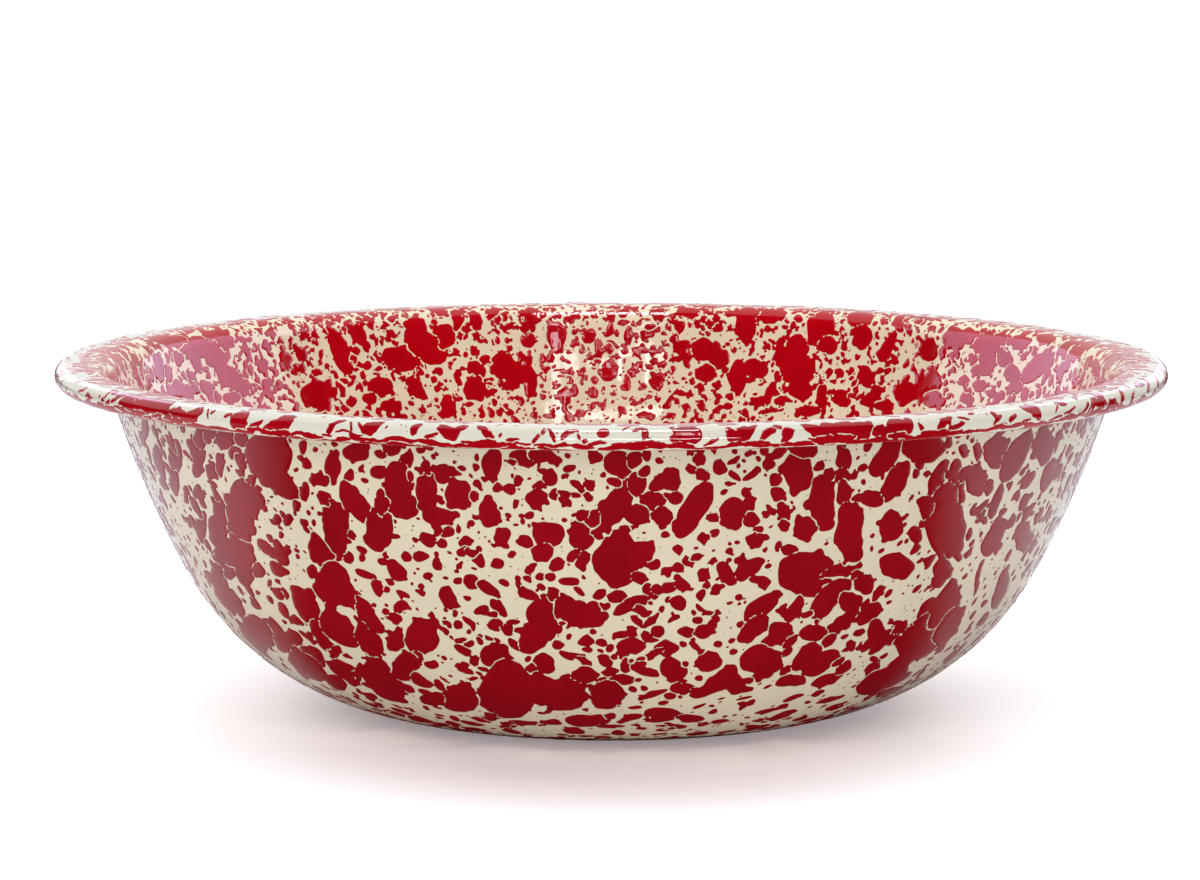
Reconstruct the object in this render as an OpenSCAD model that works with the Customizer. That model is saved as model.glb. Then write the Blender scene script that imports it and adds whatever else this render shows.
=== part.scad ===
// Enamel basin bowl: one sheet steel pressing with a rolled rim, two fired
// ground coats, cream cover coats and a red splatter glaze on top of them.
// The origin is the centre of the resting face and +Z points up.

/* [Bowl] */
// Width over the rolled rim
rim_w = 356; // [320:1:400]
// Height from the resting face to the top of the rim
bowl_h = 112; // [100:1:125]
// Width of the flat base
base_w = 120; // [100:1:150]
// Slope of the wall, from level, where the curve of the belly ends and the side begins
belly_slope = 62.1; // [52:0.1:70]
// Radius of the long, nearly straight curve of the side
side_r = 316; // [240:1:450]

/* [Rim] */
// Thickness of the rolled edge over its enamel
bead_w = 7.2; // [6:0.1:9]
// Radius of the inside lip where the side turns out
lip_r = 8.5; // [6:0.1:11]
// Width of the flat flange between lip and rolled edge
flange_w = 6.9; // [3:0.1:12]

/* [Layers] */
// Thickness of the steel sheet
steel_t = 0.8; // [0.6:0.05:1.2]
// Thickness of each dark ground coat
ground_t = 0.12; // [0.08:0.01:0.2]
// Thickness of each cream cover coat
cover_t = 0.18; // [0.1:0.01:0.3]
// Height of the splatter glaze above the cream
splat_t = 0.2; // [0.1:0.05:0.3]

/* [Splatter] */
// Radius of the largest splash
splash_r = 12; // [8:0.5:13]
// Number of splashes on the outside
outside_count = 64; // [20:1:72]
// Number of splashes on the inside
inside_count = 56; // [20:1:64]
// Number of dragged streaks round the rim
streak_count = 48; // [20:1:70]

/* [Hidden] */
$fn = 180;

// Layer limits, measured from the outside face of the cream towards the inside of the bowl
outer_cover_n = 0;
outer_ground_n = outer_cover_n + cover_t;
steel_n = outer_ground_n + ground_t;
inner_ground_n = steel_n + steel_t;
inner_cover_n = inner_ground_n + ground_t;
wall_t = inner_cover_n + cover_t;

// Centres of the four arcs of the section, which meet tangent to each other
base_r = base_w / 2;
bead_r = bead_w / 2;
bead_x = rim_w / 2 - bead_r;
bead_z = bowl_h - bead_r;
lip_x = bead_x - flange_w;
lip_z = bowl_h - lip_r;
lip_under_r = lip_r - splat_t - wall_t;
bead_hollow_r = bead_r - splat_t - wall_t;

// Radius of the belly: the root of the quadratic that lets the side touch both belly and lip
side_to_lip = side_r + lip_under_r;
belly_out = sin(belly_slope);
belly_up = 1 - cos(belly_slope);
reach_x = base_r - side_r * sin(belly_slope) - lip_x;
reach_z = side_r * cos(belly_slope) - lip_z;
root_a = pow(belly_out, 2) + pow(belly_up, 2);
root_b = reach_x * belly_out + reach_z * belly_up;
root_c = pow(reach_x, 2) + pow(reach_z, 2) - pow(side_to_lip, 2);
belly_r = (-root_b - sqrt(pow(root_b, 2) - root_a * root_c)) / root_a;
belly_x = base_r;
belly_z = belly_r;
touch_x = belly_x - (side_r - belly_r) * sin(belly_slope);
touch_z = belly_z + (side_r - belly_r) * cos(belly_slope);

// Slope of the section, from level, where side meets lip
lip_slope = 90 + atan2(lip_z - touch_z, lip_x - touch_x);

// The side stands this much further out than its touching arc, for a definite edge at each end
joint_step = 0.004;
side_x = touch_x + joint_step * sin(lip_slope);
side_z = touch_z - joint_step * cos(lip_slope);

// Length of the section along the belly and along the side
belly_run = belly_r * belly_slope * PI / 180;
side_run = side_r * (lip_slope - belly_slope) * PI / 180;
wall_run = belly_run + side_run;

// How far the belly runs on into the side, and the side into the lip, so that they weld
belly_weld = 1;
side_weld = 0.3;

// Gap left at the seam where the rolled edge comes back under the flange
seam_gap = 0.35;
seam_turn = asin((bead_hollow_r - seam_gap) / (bead_r - splat_t));

// Where splashes may lie along the section, counted from the axis of the bowl
full_run = base_r + wall_run;
outside_low_run = base_r + 2 * splash_r;
outside_high_run = full_run - splash_r;
inside_low_run = base_r + 2 * splash_r;
inside_high_run = full_run - splash_r;
// First numbers of the two rows of splashes
outside_first = 0;
inside_first = 500;

// Sizes and side drops of a splash as shares of the largest one
small_splash_share = 0.3;
lobe_share = 0.62;
lobe_step_share = 0.8;
lobed_from_share = 0.6;
mid_share = 0.5;
// Spread of the splashes: exponents of the shares of run and of size
spread_share = 0.62;
size_fall_share = 1.6;

// Sides of the rod that marks a drop, and how far its patch of glaze reaches past the splash
drop_sides = 36;
patch_reach_share = 1.1;

// Rays that bound a ring sector: turn from one to the next, and their length past the ring
ray_turn = 60;
ray_reach_share = 1.3;

// Turn from one splash to the next, and the two constants of the chance formula
golden_turn = 137.508;
chance_turn = 97.31;
chance_gain = 43.7;
// What a chance decides
size_chance = 2;
under_chance = 3;
lean_chance = 5;

// Streaks on the rolled edge: angles in its section, and turns round the rim
streak_side_low = -35;
streak_under_low = -110;
streak_wide = 4.6;
streak_narrow = 1.2;
under_streak_share = 0.45;

// Turn by which an arc of radius r runs on past its joint
function weld_turn(weld, r) = weld / r * 180 / PI;

// Ring sector between two radii and two angles
module ring_sector(inner_r, outer_r, from_a, to_a) {
    reach = ray_reach_share * outer_r;
    steps = ceil((to_a - from_a) / ray_turn);
    rays = [for (i = [0:steps]) let (a = from_a + (to_a - from_a) * i / steps)
            reach * [cos(a), sin(a)]];
    intersection() {
        difference() {
            circle(r = outer_r);
            circle(r = inner_r);
        }
        polygon(concat([[0, 0]], rays));
    }
}

// Section of the bowl's wall between two layer limits, from base to lip
module wall_section(from_n, to_n) {
    translate([0, from_n])
        square([base_r, to_n - from_n]);
    translate([belly_x, belly_z])
        ring_sector(belly_r - to_n, belly_r - from_n, -90,
                    belly_slope - 90 + weld_turn(belly_weld, belly_r));
    translate([side_x, side_z])
        ring_sector(side_r - to_n, side_r - from_n, belly_slope - 90,
                    lip_slope - 90 + weld_turn(side_weld, side_r));
}

// Section of lip, flange and rolled edge between the same limits
module rim_section(from_n, to_n) {
    translate([lip_x, lip_z])
        ring_sector(lip_under_r + from_n, lip_under_r + to_n, 90, 90 + lip_slope);
    translate([lip_x, bead_z + bead_hollow_r + from_n])
        square([flange_w, to_n - from_n]);
    translate([bead_x, bead_z])
        ring_sector(bead_hollow_r + from_n, bead_hollow_r + to_n, -180 - seam_turn, 90);
}

// One layer of the whole bowl
module layer(from_n, to_n) {
    rotate_extrude() {
        wall_section(from_n, to_n);
        rim_section(from_n, to_n);
    }
}

// Slope of the wall, from level, at a run along the section from the axis
function slope_at(run) =
    run < base_r ? 0
    : run < base_r + belly_run ? (run - base_r) / belly_r * 180 / PI
    : belly_slope + (run - base_r - belly_run) / side_r * 180 / PI;

// Point of the outside face at that run, as radius and height
function wall_point(run) =
    let (a = slope_at(run))
    run < base_r ? [run, 0]
    : run < base_r + belly_run ? [belly_x + belly_r * sin(a), belly_z - belly_r * cos(a)]
    : [side_x + side_r * sin(a), side_z - side_r * cos(a)];

// Repeatable number from 0 to 1 for a splash and a purpose
function chance(k, purpose) =
    let (s = chance_gain * sin(chance_turn * (k + 1) * purpose + k * k)) s - floor(s);

// Run of a splash, moved off the joint of belly and side so that it lies on one arc
function clear_run(run, r) =
    let (joint = base_r + belly_run, off = run - joint)
    abs(off) > r ? run : joint + (off < 0 ? -r : r);

// Rod that stands square to the wall and marks one drop of glaze
module drop_rod(run, r) {
    p = wall_point(run);
    translate([p[0], 0, p[1]])
        rotate([0, 180 - slope_at(run), 0])
            cylinder(h = 2 * r, r = r, center = true, $fn = drop_sides);
}

// Patch of a layer round one splash: flat floor, belly or side, by where the run is
module glaze_patch(run, r, from_n, to_n) {
    spread = 180 / PI * r / wall_point(run)[0];
    joint = base_r + belly_run;
    if (run < base_r - r)
        translate([0, 0, from_n]) cylinder(h = to_n - from_n, r = base_r);
    else
        rotate(-spread)
            rotate_extrude(angle = 2 * spread)
                if (run < joint)
                    translate([belly_x, belly_z])
                        ring_sector(belly_r - to_n, belly_r - from_n,
                                    max(slope_at(run - r), 0) - 90, slope_at(min(run + r, joint)) - 90);
                else
                    translate([side_x, side_z])
                        ring_sector(side_r - to_n, side_r - from_n,
                                    slope_at(max(run - r, joint)) - 90,
                                    min(slope_at(run + r), lip_slope) - 90);
}

// One splash: a drop of glaze, with two side drops where it is large
module splash(turn, run, r, lean, from_n, to_n) {
    lobed = r > lobed_from_share * splash_r;
    step = lobe_step_share * r;
    reach = lobed ? step + lobe_share * r : r;
    at = clear_run(run, reach);
    turn_by = step * cos(lean) / wall_point(at)[0] * 180 / PI;
    rotate(turn)
        intersection() {
            glaze_patch(at, patch_reach_share * reach, from_n, to_n);
            union() {
                drop_rod(at, r);
                if (lobed) {
                    rotate(turn_by) drop_rod(at + step * sin(lean), lobe_share * r);
                    rotate(-turn_by) drop_rod(at - step * sin(lean), lobe_share * r);
                }
            }
        }
}

// All splashes of one face of the bowl
module splashes(count, low_run, high_run, first, from_n, to_n) {
    for (k = [first:first + count - 1]) {
        share = (k - first + mid_share) / count;
        run = low_run + (high_run - low_run) * pow(share, spread_share);
        size_share = small_splash_share
                     + (1 - small_splash_share) * pow(chance(k, size_chance), size_fall_share);
        splash(golden_turn * k, run, splash_r * size_share, 90 * chance(k, lean_chance), from_n, to_n);
    }
}

module steel_shell() {
    color("dimgray") layer(steel_n, inner_ground_n);
}

module ground_coat_inside() {
    color("midnightblue") layer(inner_ground_n, inner_cover_n);
}

module ground_coat_outside() {
    color("midnightblue") layer(outer_ground_n, steel_n);
}

module cover_coat_inside() {
    color([0.93, 0.88, 0.76]) layer(inner_cover_n, wall_t);
}

module cover_coat_outside() {
    color([0.88, 0.84, 0.74]) layer(outer_cover_n, outer_ground_n);
}

module splatter_inside() {
    color([0.72, 0.02, 0.08])
        splashes(inside_count, inside_low_run, inside_high_run, inside_first, wall_t, wall_t + splat_t);
}

module splatter_outside() {
    color([0.55, 0.05, 0.12])
        splashes(outside_count, outside_low_run, outside_high_run, outside_first, -splat_t, 0);
}

// Streaks lie on the flange and the rolled edge, or on the underside of the edge
module splatter_rim() {
    color([0.66, 0.03, 0.09])
        for (k = [0:streak_count - 1]) {
            wide = streak_narrow + (streak_wide - streak_narrow) * chance(k, size_chance);
            under = chance(k, under_chance) < under_streak_share;
            rotate(k * 360 / streak_count)
                rotate_extrude(angle = wide)
                    translate([bead_x, bead_z])
                        if (under)
                            ring_sector(bead_r - splat_t, bead_r, streak_under_low, streak_side_low);
                        else
                            ring_sector(bead_r - splat_t, bead_r, streak_side_low, 90);
        }
}

steel_shell();
ground_coat_inside();
ground_coat_outside();
cover_coat_inside();
cover_coat_outside();
splatter_inside();
splatter_rim();
splatter_outside();
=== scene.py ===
"""Enamel basin bowl: cream enamel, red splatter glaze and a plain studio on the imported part."""

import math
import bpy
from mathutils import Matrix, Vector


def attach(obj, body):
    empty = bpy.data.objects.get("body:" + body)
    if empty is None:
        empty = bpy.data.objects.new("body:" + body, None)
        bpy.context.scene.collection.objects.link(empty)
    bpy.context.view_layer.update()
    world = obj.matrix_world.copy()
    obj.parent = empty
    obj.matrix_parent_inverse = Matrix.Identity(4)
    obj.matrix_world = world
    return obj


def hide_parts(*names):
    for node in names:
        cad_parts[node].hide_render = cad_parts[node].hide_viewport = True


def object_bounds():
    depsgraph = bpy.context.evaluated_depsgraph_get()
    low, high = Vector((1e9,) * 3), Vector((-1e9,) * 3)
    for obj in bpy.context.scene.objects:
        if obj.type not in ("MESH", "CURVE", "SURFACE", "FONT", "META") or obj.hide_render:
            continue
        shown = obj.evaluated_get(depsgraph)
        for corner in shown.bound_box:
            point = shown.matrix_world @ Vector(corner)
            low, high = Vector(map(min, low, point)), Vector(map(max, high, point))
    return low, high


bl_info = {
    "name": "Enamel Basin Bowl",
    "version": (1, 0, 0),
    "blender": (4, 5, 0),
    "location": "3D View > Sidebar > Enamel Bowl",
    "description": "Builds the enamel shells, the splatter glaze and the studio of a basin bowl",
    "category": "Add Mesh",
}

import bpy
import numpy as np
from bpy.props import FloatProperty, FloatVectorProperty, IntProperty, PointerProperty
from bpy.types import Operator, Panel, PropertyGroup
from mathutils import Matrix, Vector
from mathutils.geometry import delaunay_2d_cdt

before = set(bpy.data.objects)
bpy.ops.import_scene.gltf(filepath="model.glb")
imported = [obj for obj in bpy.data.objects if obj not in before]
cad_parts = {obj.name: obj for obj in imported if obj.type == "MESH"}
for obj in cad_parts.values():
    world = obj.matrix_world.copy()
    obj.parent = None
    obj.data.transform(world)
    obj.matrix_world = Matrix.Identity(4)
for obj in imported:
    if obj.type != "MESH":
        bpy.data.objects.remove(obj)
cad_low, cad_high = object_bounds()

MM = 0.001

# Photograph and camera, in pixels of the photograph
PHOTO_W = 1200
PHOTO_H = 880
FOCAL_PX = 5242.0
RIM_CENTRE_PX = (611.25, 357.66)
SENSOR_W = 36.0

# Splashes on the front of the outside, read one by one: middle across and down, width and height
# in pixels of the photograph, and a lean where it leans: 1 right at the top, -1 left
OUTSIDE_SPLASHES = (
    (159, 462, 11, 34, -1), (176, 457, 12, 31), (145, 429, 7, 20), (175, 483, 8, 22),
    (198, 455, 15, 40), (201, 437, 14, 22), (211, 470, 9, 18), (220, 465, 9, 21),
    (225, 439, 20, 19), (235, 453, 12, 10), (242, 440, 14, 14), (268, 456, 42, 46),
    (281, 482, 30, 34, -1), (304, 446, 9, 10), (306, 463, 10, 12), (305, 491, 9, 16),
    (242, 473, 6, 14), (219, 522, 19, 42), (241, 517, 24, 72), (253, 502, 14, 30),
    (202, 527, 10, 30), (198, 491, 8, 14), (186, 495, 5, 16), (277, 519, 9, 9), (288, 519, 9, 12),
    (304, 523, 8, 10), (282, 535, 6, 9), (297, 506, 8, 10), (232, 555, 38, 30), (315, 548, 12, 26),
    (333, 467, 15, 29), (356, 452, 24, 20), (319, 480, 19, 13), (350, 476, 10, 11),
    (326, 501, 12, 19), (337, 531, 24, 55), (356, 503, 28, 40, -1), (379, 527, 27, 42),
    (379, 472, 14, 14), (382, 452, 11, 9), (394, 452, 10, 10), (408, 460, 14, 16), (421, 451, 8, 8),
    (398, 485, 26, 40), (405, 506, 28, 24), (382, 505, 13, 15), (443, 473, 20, 19),
    (426, 489, 20, 28), (458, 494, 24, 25), (475, 497, 9, 9), (439, 517, 30, 16),
    (428, 505, 18, 13), (489, 514, 22, 28), (493, 464, 17, 30), (477, 467, 10, 8), (477, 484, 9, 8),
    (396, 537, 9, 8), (428, 540, 14, 14), (447, 532, 12, 9), (444, 543, 13, 10), (466, 542, 12, 12),
    (464, 551, 14, 9), (407, 556, 10, 8), (420, 556, 13, 8), (437, 564, 11, 13, -1),
    (479, 550, 8, 8), (480, 561, 10, 13), (396, 570, 18, 18, -1), (365, 574, 18, 11, -1),
    (323, 555, 22, 44, -1), (348, 557, 11, 9), (363, 549, 8, 8), (524, 458, 27, 14),
    (544, 457, 14, 12), (518, 480, 10, 10), (509, 489, 12, 10), (538, 485, 12, 9),
    (550, 478, 15, 15), (537, 499, 18, 19), (556, 492, 9, 8), (578, 486, 12, 13, -1),
    (574, 496, 13, 6), (588, 497, 8, 8), (530, 516, 10, 8), (548, 534, 28, 23), (541, 552, 21, 17),
    (581, 538, 25, 28), (504, 536, 16, 15), (525, 542, 13, 14), (558, 564, 16, 13),
    (497, 563, 11, 10), (575, 557, 13, 12), (587, 559, 13, 12), (581, 566, 12, 11),
    (542, 577, 11, 9), (553, 577, 11, 9), (569, 582, 16, 8), (615, 506, 34, 46, 1),
    (593, 519, 14, 15), (582, 515, 11, 11), (618, 464, 28, 22), (634, 459, 13, 12),
    (596, 456, 14, 12), (613, 483, 13, 9), (637, 483, 18, 23), (645, 471, 11, 11),
    (653, 501, 20, 20), (637, 514, 22, 18), (659, 482, 20, 15, 1), (673, 478, 14, 18),
    (662, 517, 18, 16), (618, 559, 40, 54), (641, 554, 20, 24), (651, 548, 8, 15),
    (641, 578, 18, 14), (646, 457, 10, 11), (694, 509, 32, 52, 1), (674, 497, 16, 14),
    (671, 478, 18, 18), (691, 471, 12, 9), (702, 474, 13, 13), (698, 459, 12, 11),
    (720, 466, 14, 14), (735, 462, 12, 8, 1), (735, 475, 10, 9, -1), (751, 474, 18, 11, 1),
    (769, 464, 14, 12), (775, 478, 12, 10), (779, 494, 13, 18, -1), (798, 471, 26, 38),
    (803, 449, 24, 14), (844, 458, 15, 26), (842, 477, 15, 16), (844, 494, 12, 26),
    (822, 501, 26, 46), (733, 514, 26, 28), (749, 506, 12, 18), (752, 519, 15, 12),
    (712, 517, 10, 10), (701, 538, 11, 11), (714, 534, 8, 8), (760, 529, 10, 8), (754, 541, 15, 14),
    (783, 514, 10, 22), (782, 527, 11, 11), (805, 528, 20, 23), (778, 548, 8, 9), (794, 551, 9, 9),
    (806, 574, 52, 42), (849, 531, 28, 52), (842, 570, 40, 14, 1), (749, 568, 26, 20, 1),
    (726, 573, 16, 18), (703, 574, 13, 11), (689, 561, 12, 11), (678, 569, 12, 11),
    (678, 550, 10, 9), (888, 453, 28, 46, 1), (895, 481, 24, 40, 1), (871, 498, 24, 18),
    (923, 448, 38, 26), (939, 476, 18, 30, 1), (956, 481, 16, 38), (975, 480, 17, 32),
    (891, 526, 24, 28), (850, 521, 22, 34), (946, 523, 34, 70), (925, 506, 14, 22),
    (916, 534, 14, 18), (896, 566, 32, 24), (943, 569, 16, 20), (996, 500, 12, 32, 1),
    (994, 538, 20, 38, 1), (1024, 538, 18, 26), (1049, 475, 16, 32, 1), (997, 453, 24, 30),
    (1016, 456, 26, 46, 1), (1044, 445, 18, 36), (978, 451, 9, 16), (963, 451, 9, 14),
    (865, 586, 14, 18), (953, 594, 12, 30), (978, 579, 8, 32, 1), (1001, 589, 14, 40, 1),
    (222, 589, 18, 48, -1), (230, 573, 12, 12), (246, 571, 20, 24), (237, 604, 14, 28, -1),
    (259, 571, 11, 12), (268, 581, 5, 10), (256, 604, 10, 13, -1), (270, 600, 7, 10, -1),
    (285, 610, 10, 15, -1), (306, 605, 26, 38, -1), (320, 636, 18, 32, -1), (296, 622, 13, 8, -1),
    (312, 571, 10, 13), (333, 585, 32, 42), (332, 610, 12, 16), (340, 630, 36, 30, -1),
    (370, 642, 24, 44, -1), (353, 597, 20, 34, -1), (371, 617, 21, 33, -1), (272, 630, 20, 22, -1),
    (288, 642, 24, 20), (256, 635, 28, 28, -1), (314, 657, 23, 19, -1), (336, 652, 12, 15),
    (346, 673, 28, 20, -1), (359, 672, 9, 16), (336, 683, 21, 14, -1), (307, 667, 34, 24, -1),
    (384, 682, 36, 36, -1), (408, 688, 12, 9, -1), (395, 643, 19, 20), (388, 633, 6, 6),
    (423, 637, 32, 32), (434, 627, 14, 14), (438, 639, 6, 8), (421, 656, 10, 9, -1),
    (410, 663, 22, 20), (402, 671, 18, 16), (420, 680, 18, 13, -1), (432, 664, 12, 8),
    (402, 608, 15, 14), (394, 617, 18, 11, -1), (387, 610, 6, 6), (376, 588, 14, 14, -1),
    (388, 591, 9, 6), (431, 578, 10, 8), (447, 594, 15, 14), (449, 601, 15, 18), (459, 582, 9, 7),
    (471, 582, 13, 13), (488, 589, 22, 16, -1), (482, 610, 12, 10), (499, 608, 19, 12, -1),
    (469, 622, 15, 10, -1), (474, 627, 8, 9), (454, 614, 7, 8), (457, 624, 8, 7), (462, 639, 8, 6),
    (470, 643, 8, 7), (464, 649, 10, 10, -1), (473, 659, 10, 9), (495, 656, 28, 19),
    (502, 649, 12, 12), (497, 624, 13, 13), (510, 628, 12, 12), (514, 621, 12, 6), (495, 640, 8, 6),
    (514, 644, 10, 13, -1), (543, 619, 29, 40), (531, 639, 25, 30), (520, 585, 12, 9, -1),
    (527, 594, 17, 13, -1), (541, 588, 10, 7), (554, 595, 15, 14), (546, 664, 19, 16),
    (533, 669, 14, 9), (529, 660, 8, 6), (514, 672, 19, 14, -1), (464, 669, 15, 9, -1),
    (477, 674, 10, 6, -1), (471, 679, 8, 5), (506, 694, 50, 50), (461, 700, 36, 24),
    (433, 700, 23, 12), (539, 690, 21, 30), (562, 696, 42, 30), (570, 687, 24, 18),
    (423, 692, 13, 6, -1), (439, 686, 15, 11, -1), (525, 723, 27, 6), (551, 722, 19, 5),
    (579, 591, 10, 8, -1), (564, 606, 18, 20), (578, 614, 28, 24), (588, 621, 33, 16),
    (594, 608, 13, 15), (564, 622, 6, 4), (557, 643, 15, 10), (587, 641, 15, 10), (601, 642, 10, 8),
    (588, 651, 10, 8), (610, 647, 8, 9), (600, 593, 13, 11), (618, 597, 16, 11), (651, 590, 16, 13),
    (633, 604, 30, 18, 1), (648, 602, 4, 6), (660, 610, 8, 7), (605, 607, 8, 10, -1),
    (610, 605, 6, 6), (639, 622, 19, 9, -1), (652, 619, 10, 12, 1), (635, 628, 6, 5),
    (648, 636, 15, 11), (659, 631, 13, 11), (629, 634, 14, 9), (630, 646, 24, 15),
    (623, 655, 12, 9), (666, 648, 25, 15), (652, 655, 20, 11, 1), (673, 670, 24, 21),
    (642, 660, 9, 8), (685, 663, 5, 6), (627, 666, 13, 13), (646, 671, 24, 12, -1),
    (609, 671, 15, 9), (604, 660, 13, 11), (604, 680, 13, 7), (572, 657, 24, 12, -1),
    (583, 665, 14, 9, -1), (585, 676, 24, 14), (623, 680, 25, 11), (608, 696, 31, 26),
    (620, 704, 9, 6), (585, 696, 8, 10), (632, 689, 8, 5), (650, 694, 29, 9, 1), (669, 696, 11, 8),
    (665, 703, 9, 4), (680, 698, 6, 4), (682, 688, 27, 12), (711, 689, 43, 16, 1),
    (724, 676, 33, 17, 1), (708, 662, 25, 19), (701, 677, 9, 5), (668, 587, 13, 9),
    (681, 585, 15, 11), (667, 600, 8, 8), (678, 604, 14, 15), (706, 586, 10, 10),
    (702, 595, 10, 11), (675, 620, 9, 8, 1), (688, 632, 11, 10), (703, 632, 17, 14),
    (711, 625, 9, 9), (715, 620, 9, 7), (714, 614, 13, 8, 1), (693, 611, 7, 6),
    (701, 607, 10, 7, -1), (683, 643, 6, 6), (694, 647, 11, 9, -1), (717, 645, 8, 6),
    (735, 651, 8, 8), (662, 715, 36, 13), (691, 719, 25, 8), (628, 719, 25, 7, 1),
    (587, 721, 36, 12), (608, 716, 13, 6), (609, 727, 26, 4), (699, 705, 13, 5, 1),
    (711, 706, 8, 3), (727, 577, 15, 16), (762, 583, 14, 13), (754, 580, 12, 7), (737, 597, 9, 8),
    (762, 607, 34, 26, 1), (754, 628, 28, 22, 1), (740, 623, 7, 6), (832, 594, 40, 26, 1),
    (793, 609, 15, 24, 1), (822, 607, 26, 22, 1), (858, 574, 11, 14), (864, 586, 15, 19),
    (850, 603, 20, 20), (853, 614, 16, 14), (843, 622, 13, 13), (834, 629, 13, 11),
    (870, 614, 23, 19, 1), (878, 594, 11, 18, 1), (890, 592, 7, 7, 1), (877, 636, 17, 28),
    (890, 638, 12, 15), (868, 647, 11, 8, 1), (898, 623, 9, 8), (927, 611, 18, 26, 1),
    (919, 637, 37, 37, 1), (911, 655, 32, 18, 1), (944, 604, 24, 46, 1), (942, 574, 14, 26, 1),
    (933, 585, 8, 15, 1), (948, 628, 24, 35, 1), (814, 634, 23, 16), (829, 640, 12, 11, 1),
    (780, 633, 23, 21), (767, 643, 18, 12, 1), (790, 640, 14, 11, 1), (785, 651, 14, 10, 1),
    (761, 661, 34, 26), (766, 672, 28, 14, 1), (731, 681, 22, 26), (807, 657, 26, 22, 1),
    (820, 664, 30, 24, 1), (791, 681, 27, 12), (826, 680, 32, 12, 1), (784, 670, 14, 9, 1),
    (845, 667, 15, 12, 1), (837, 663, 11, 8, 1), (850, 646, 10, 11), (876, 660, 8, 11),
    (870, 671, 16, 13, 1), (884, 680, 50, 26, 1), (903, 664, 20, 12, 1), (746, 680, 10, 6),
    (742, 688, 18, 7), (792, 699, 19, 7, 1), (828, 700, 26, 7, 1), (769, 686, 10, 5, 1),
    (816, 693, 11, 7, 1), (745, 699, 16, 5, 1), (751, 703, 12, 5, 1), (765, 711, 22, 5, 1),
    (890, 692, 26, 9, 1),
)

# Splashes on the far side of the inside, in the same terms
INSIDE_SPLASHES = (
    (530, 315, 16, 18), (528, 340, 17, 21), (557, 337, 22, 34), (529, 381, 17, 38),
    (589, 336, 18, 14), (600, 347, 12, 18), (608, 370, 20, 24), (565, 397, 15, 18),
    (592, 391, 12, 12), (628, 336, 12, 20), (639, 350, 20, 8), (646, 336, 10, 11),
    (633, 374, 14, 10), (658, 314, 16, 16), (688, 312, 24, 12), (680, 327, 10, 12),
    (697, 324, 8, 10), (682, 351, 20, 22, -1), (702, 349, 17, 20), (704, 374, 20, 18),
    (656, 384, 15, 13), (624, 387, 10, 9), (686, 408, 12, 10), (646, 416, 20, 8), (551, 416, 16, 8),
    (340, 350, 26, 56, -1), (356, 332, 22, 24, -1), (270, 332, 8, 11), (248, 354, 10, 29, -1),
    (286, 358, 17, 17), (302, 354, 11, 17), (264, 364, 9, 15), (268, 388, 15, 25),
    (316, 394, 34, 28), (298, 370, 17, 14), (280, 386, 10, 13), (416, 334, 26, 38),
    (400, 358, 42, 26), (434, 354, 32, 22), (444, 336, 24, 26), (422, 344, 32, 26),
    (458, 318, 14, 20), (476, 320, 13, 20), (492, 314, 16, 18), (502, 364, 25, 29),
    (518, 374, 26, 26), (476, 370, 21, 19), (476, 388, 25, 24), (448, 406, 17, 24),
    (418, 388, 19, 25, -1), (392, 406, 25, 16), (380, 386, 25, 17), (368, 366, 11, 11),
    (370, 398, 17, 14), (352, 402, 12, 13), (344, 410, 15, 9), (322, 406, 19, 14),
    (200, 346, 50, 24), (216, 358, 26, 25), (196, 362, 15, 27, -1), (172, 340, 33, 12),
    (228, 376, 23, 25), (208, 388, 17, 21, -1), (240, 386, 21, 29), (232, 398, 19, 12),
    (160, 338, 25, 11), (150, 374, 8, 21, -1), (216, 334, 33, 12), (228, 342, 21, 15),
    (746, 322, 23, 46), (768, 314, 17, 20), (682, 346, 21, 17), (704, 350, 25, 25),
    (718, 358, 21, 25), (708, 372, 17, 17), (738, 376, 21, 37), (756, 368, 25, 21),
    (784, 358, 25, 25), (798, 370, 38, 33), (798, 346, 25, 25), (820, 326, 29, 42),
    (828, 346, 21, 21), (780, 314, 15, 14), (804, 310, 13, 9), (800, 390, 25, 21),
    (822, 398, 15, 38), (842, 398, 19, 21), (808, 410, 25, 13), (772, 388, 13, 13),
    (780, 402, 13, 10), (860, 318, 25, 25), (862, 336, 21, 27), (888, 346, 18, 36, 1),
    (900, 322, 15, 25), (928, 350, 19, 23), (954, 340, 25, 27), (966, 336, 17, 17),
    (942, 354, 10, 13), (866, 378, 21, 23), (876, 390, 15, 13), (904, 394, 26, 25),
    (920, 386, 17, 31), (932, 382, 21, 25), (934, 400, 21, 19), (872, 402, 25, 13),
    (884, 406, 21, 11), (964, 382, 15, 15), (966, 398, 15, 13), (988, 350, 33, 38),
    (982, 370, 25, 15), (1004, 358, 17, 25), (1016, 386, 21, 23, 1), (1036, 368, 25, 36, 1),
    (1012, 374, 19, 19), (1048, 358, 15, 21), (1020, 342, 21, 15), (1046, 338, 23, 15),
    (1064, 366, 13, 23, 1), (1000, 338, 15, 13), (1076, 350, 13, 21, 1), (1096, 370, 10, 25),
    (980, 386, 15, 13), (992, 394, 15, 11),
)

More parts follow.
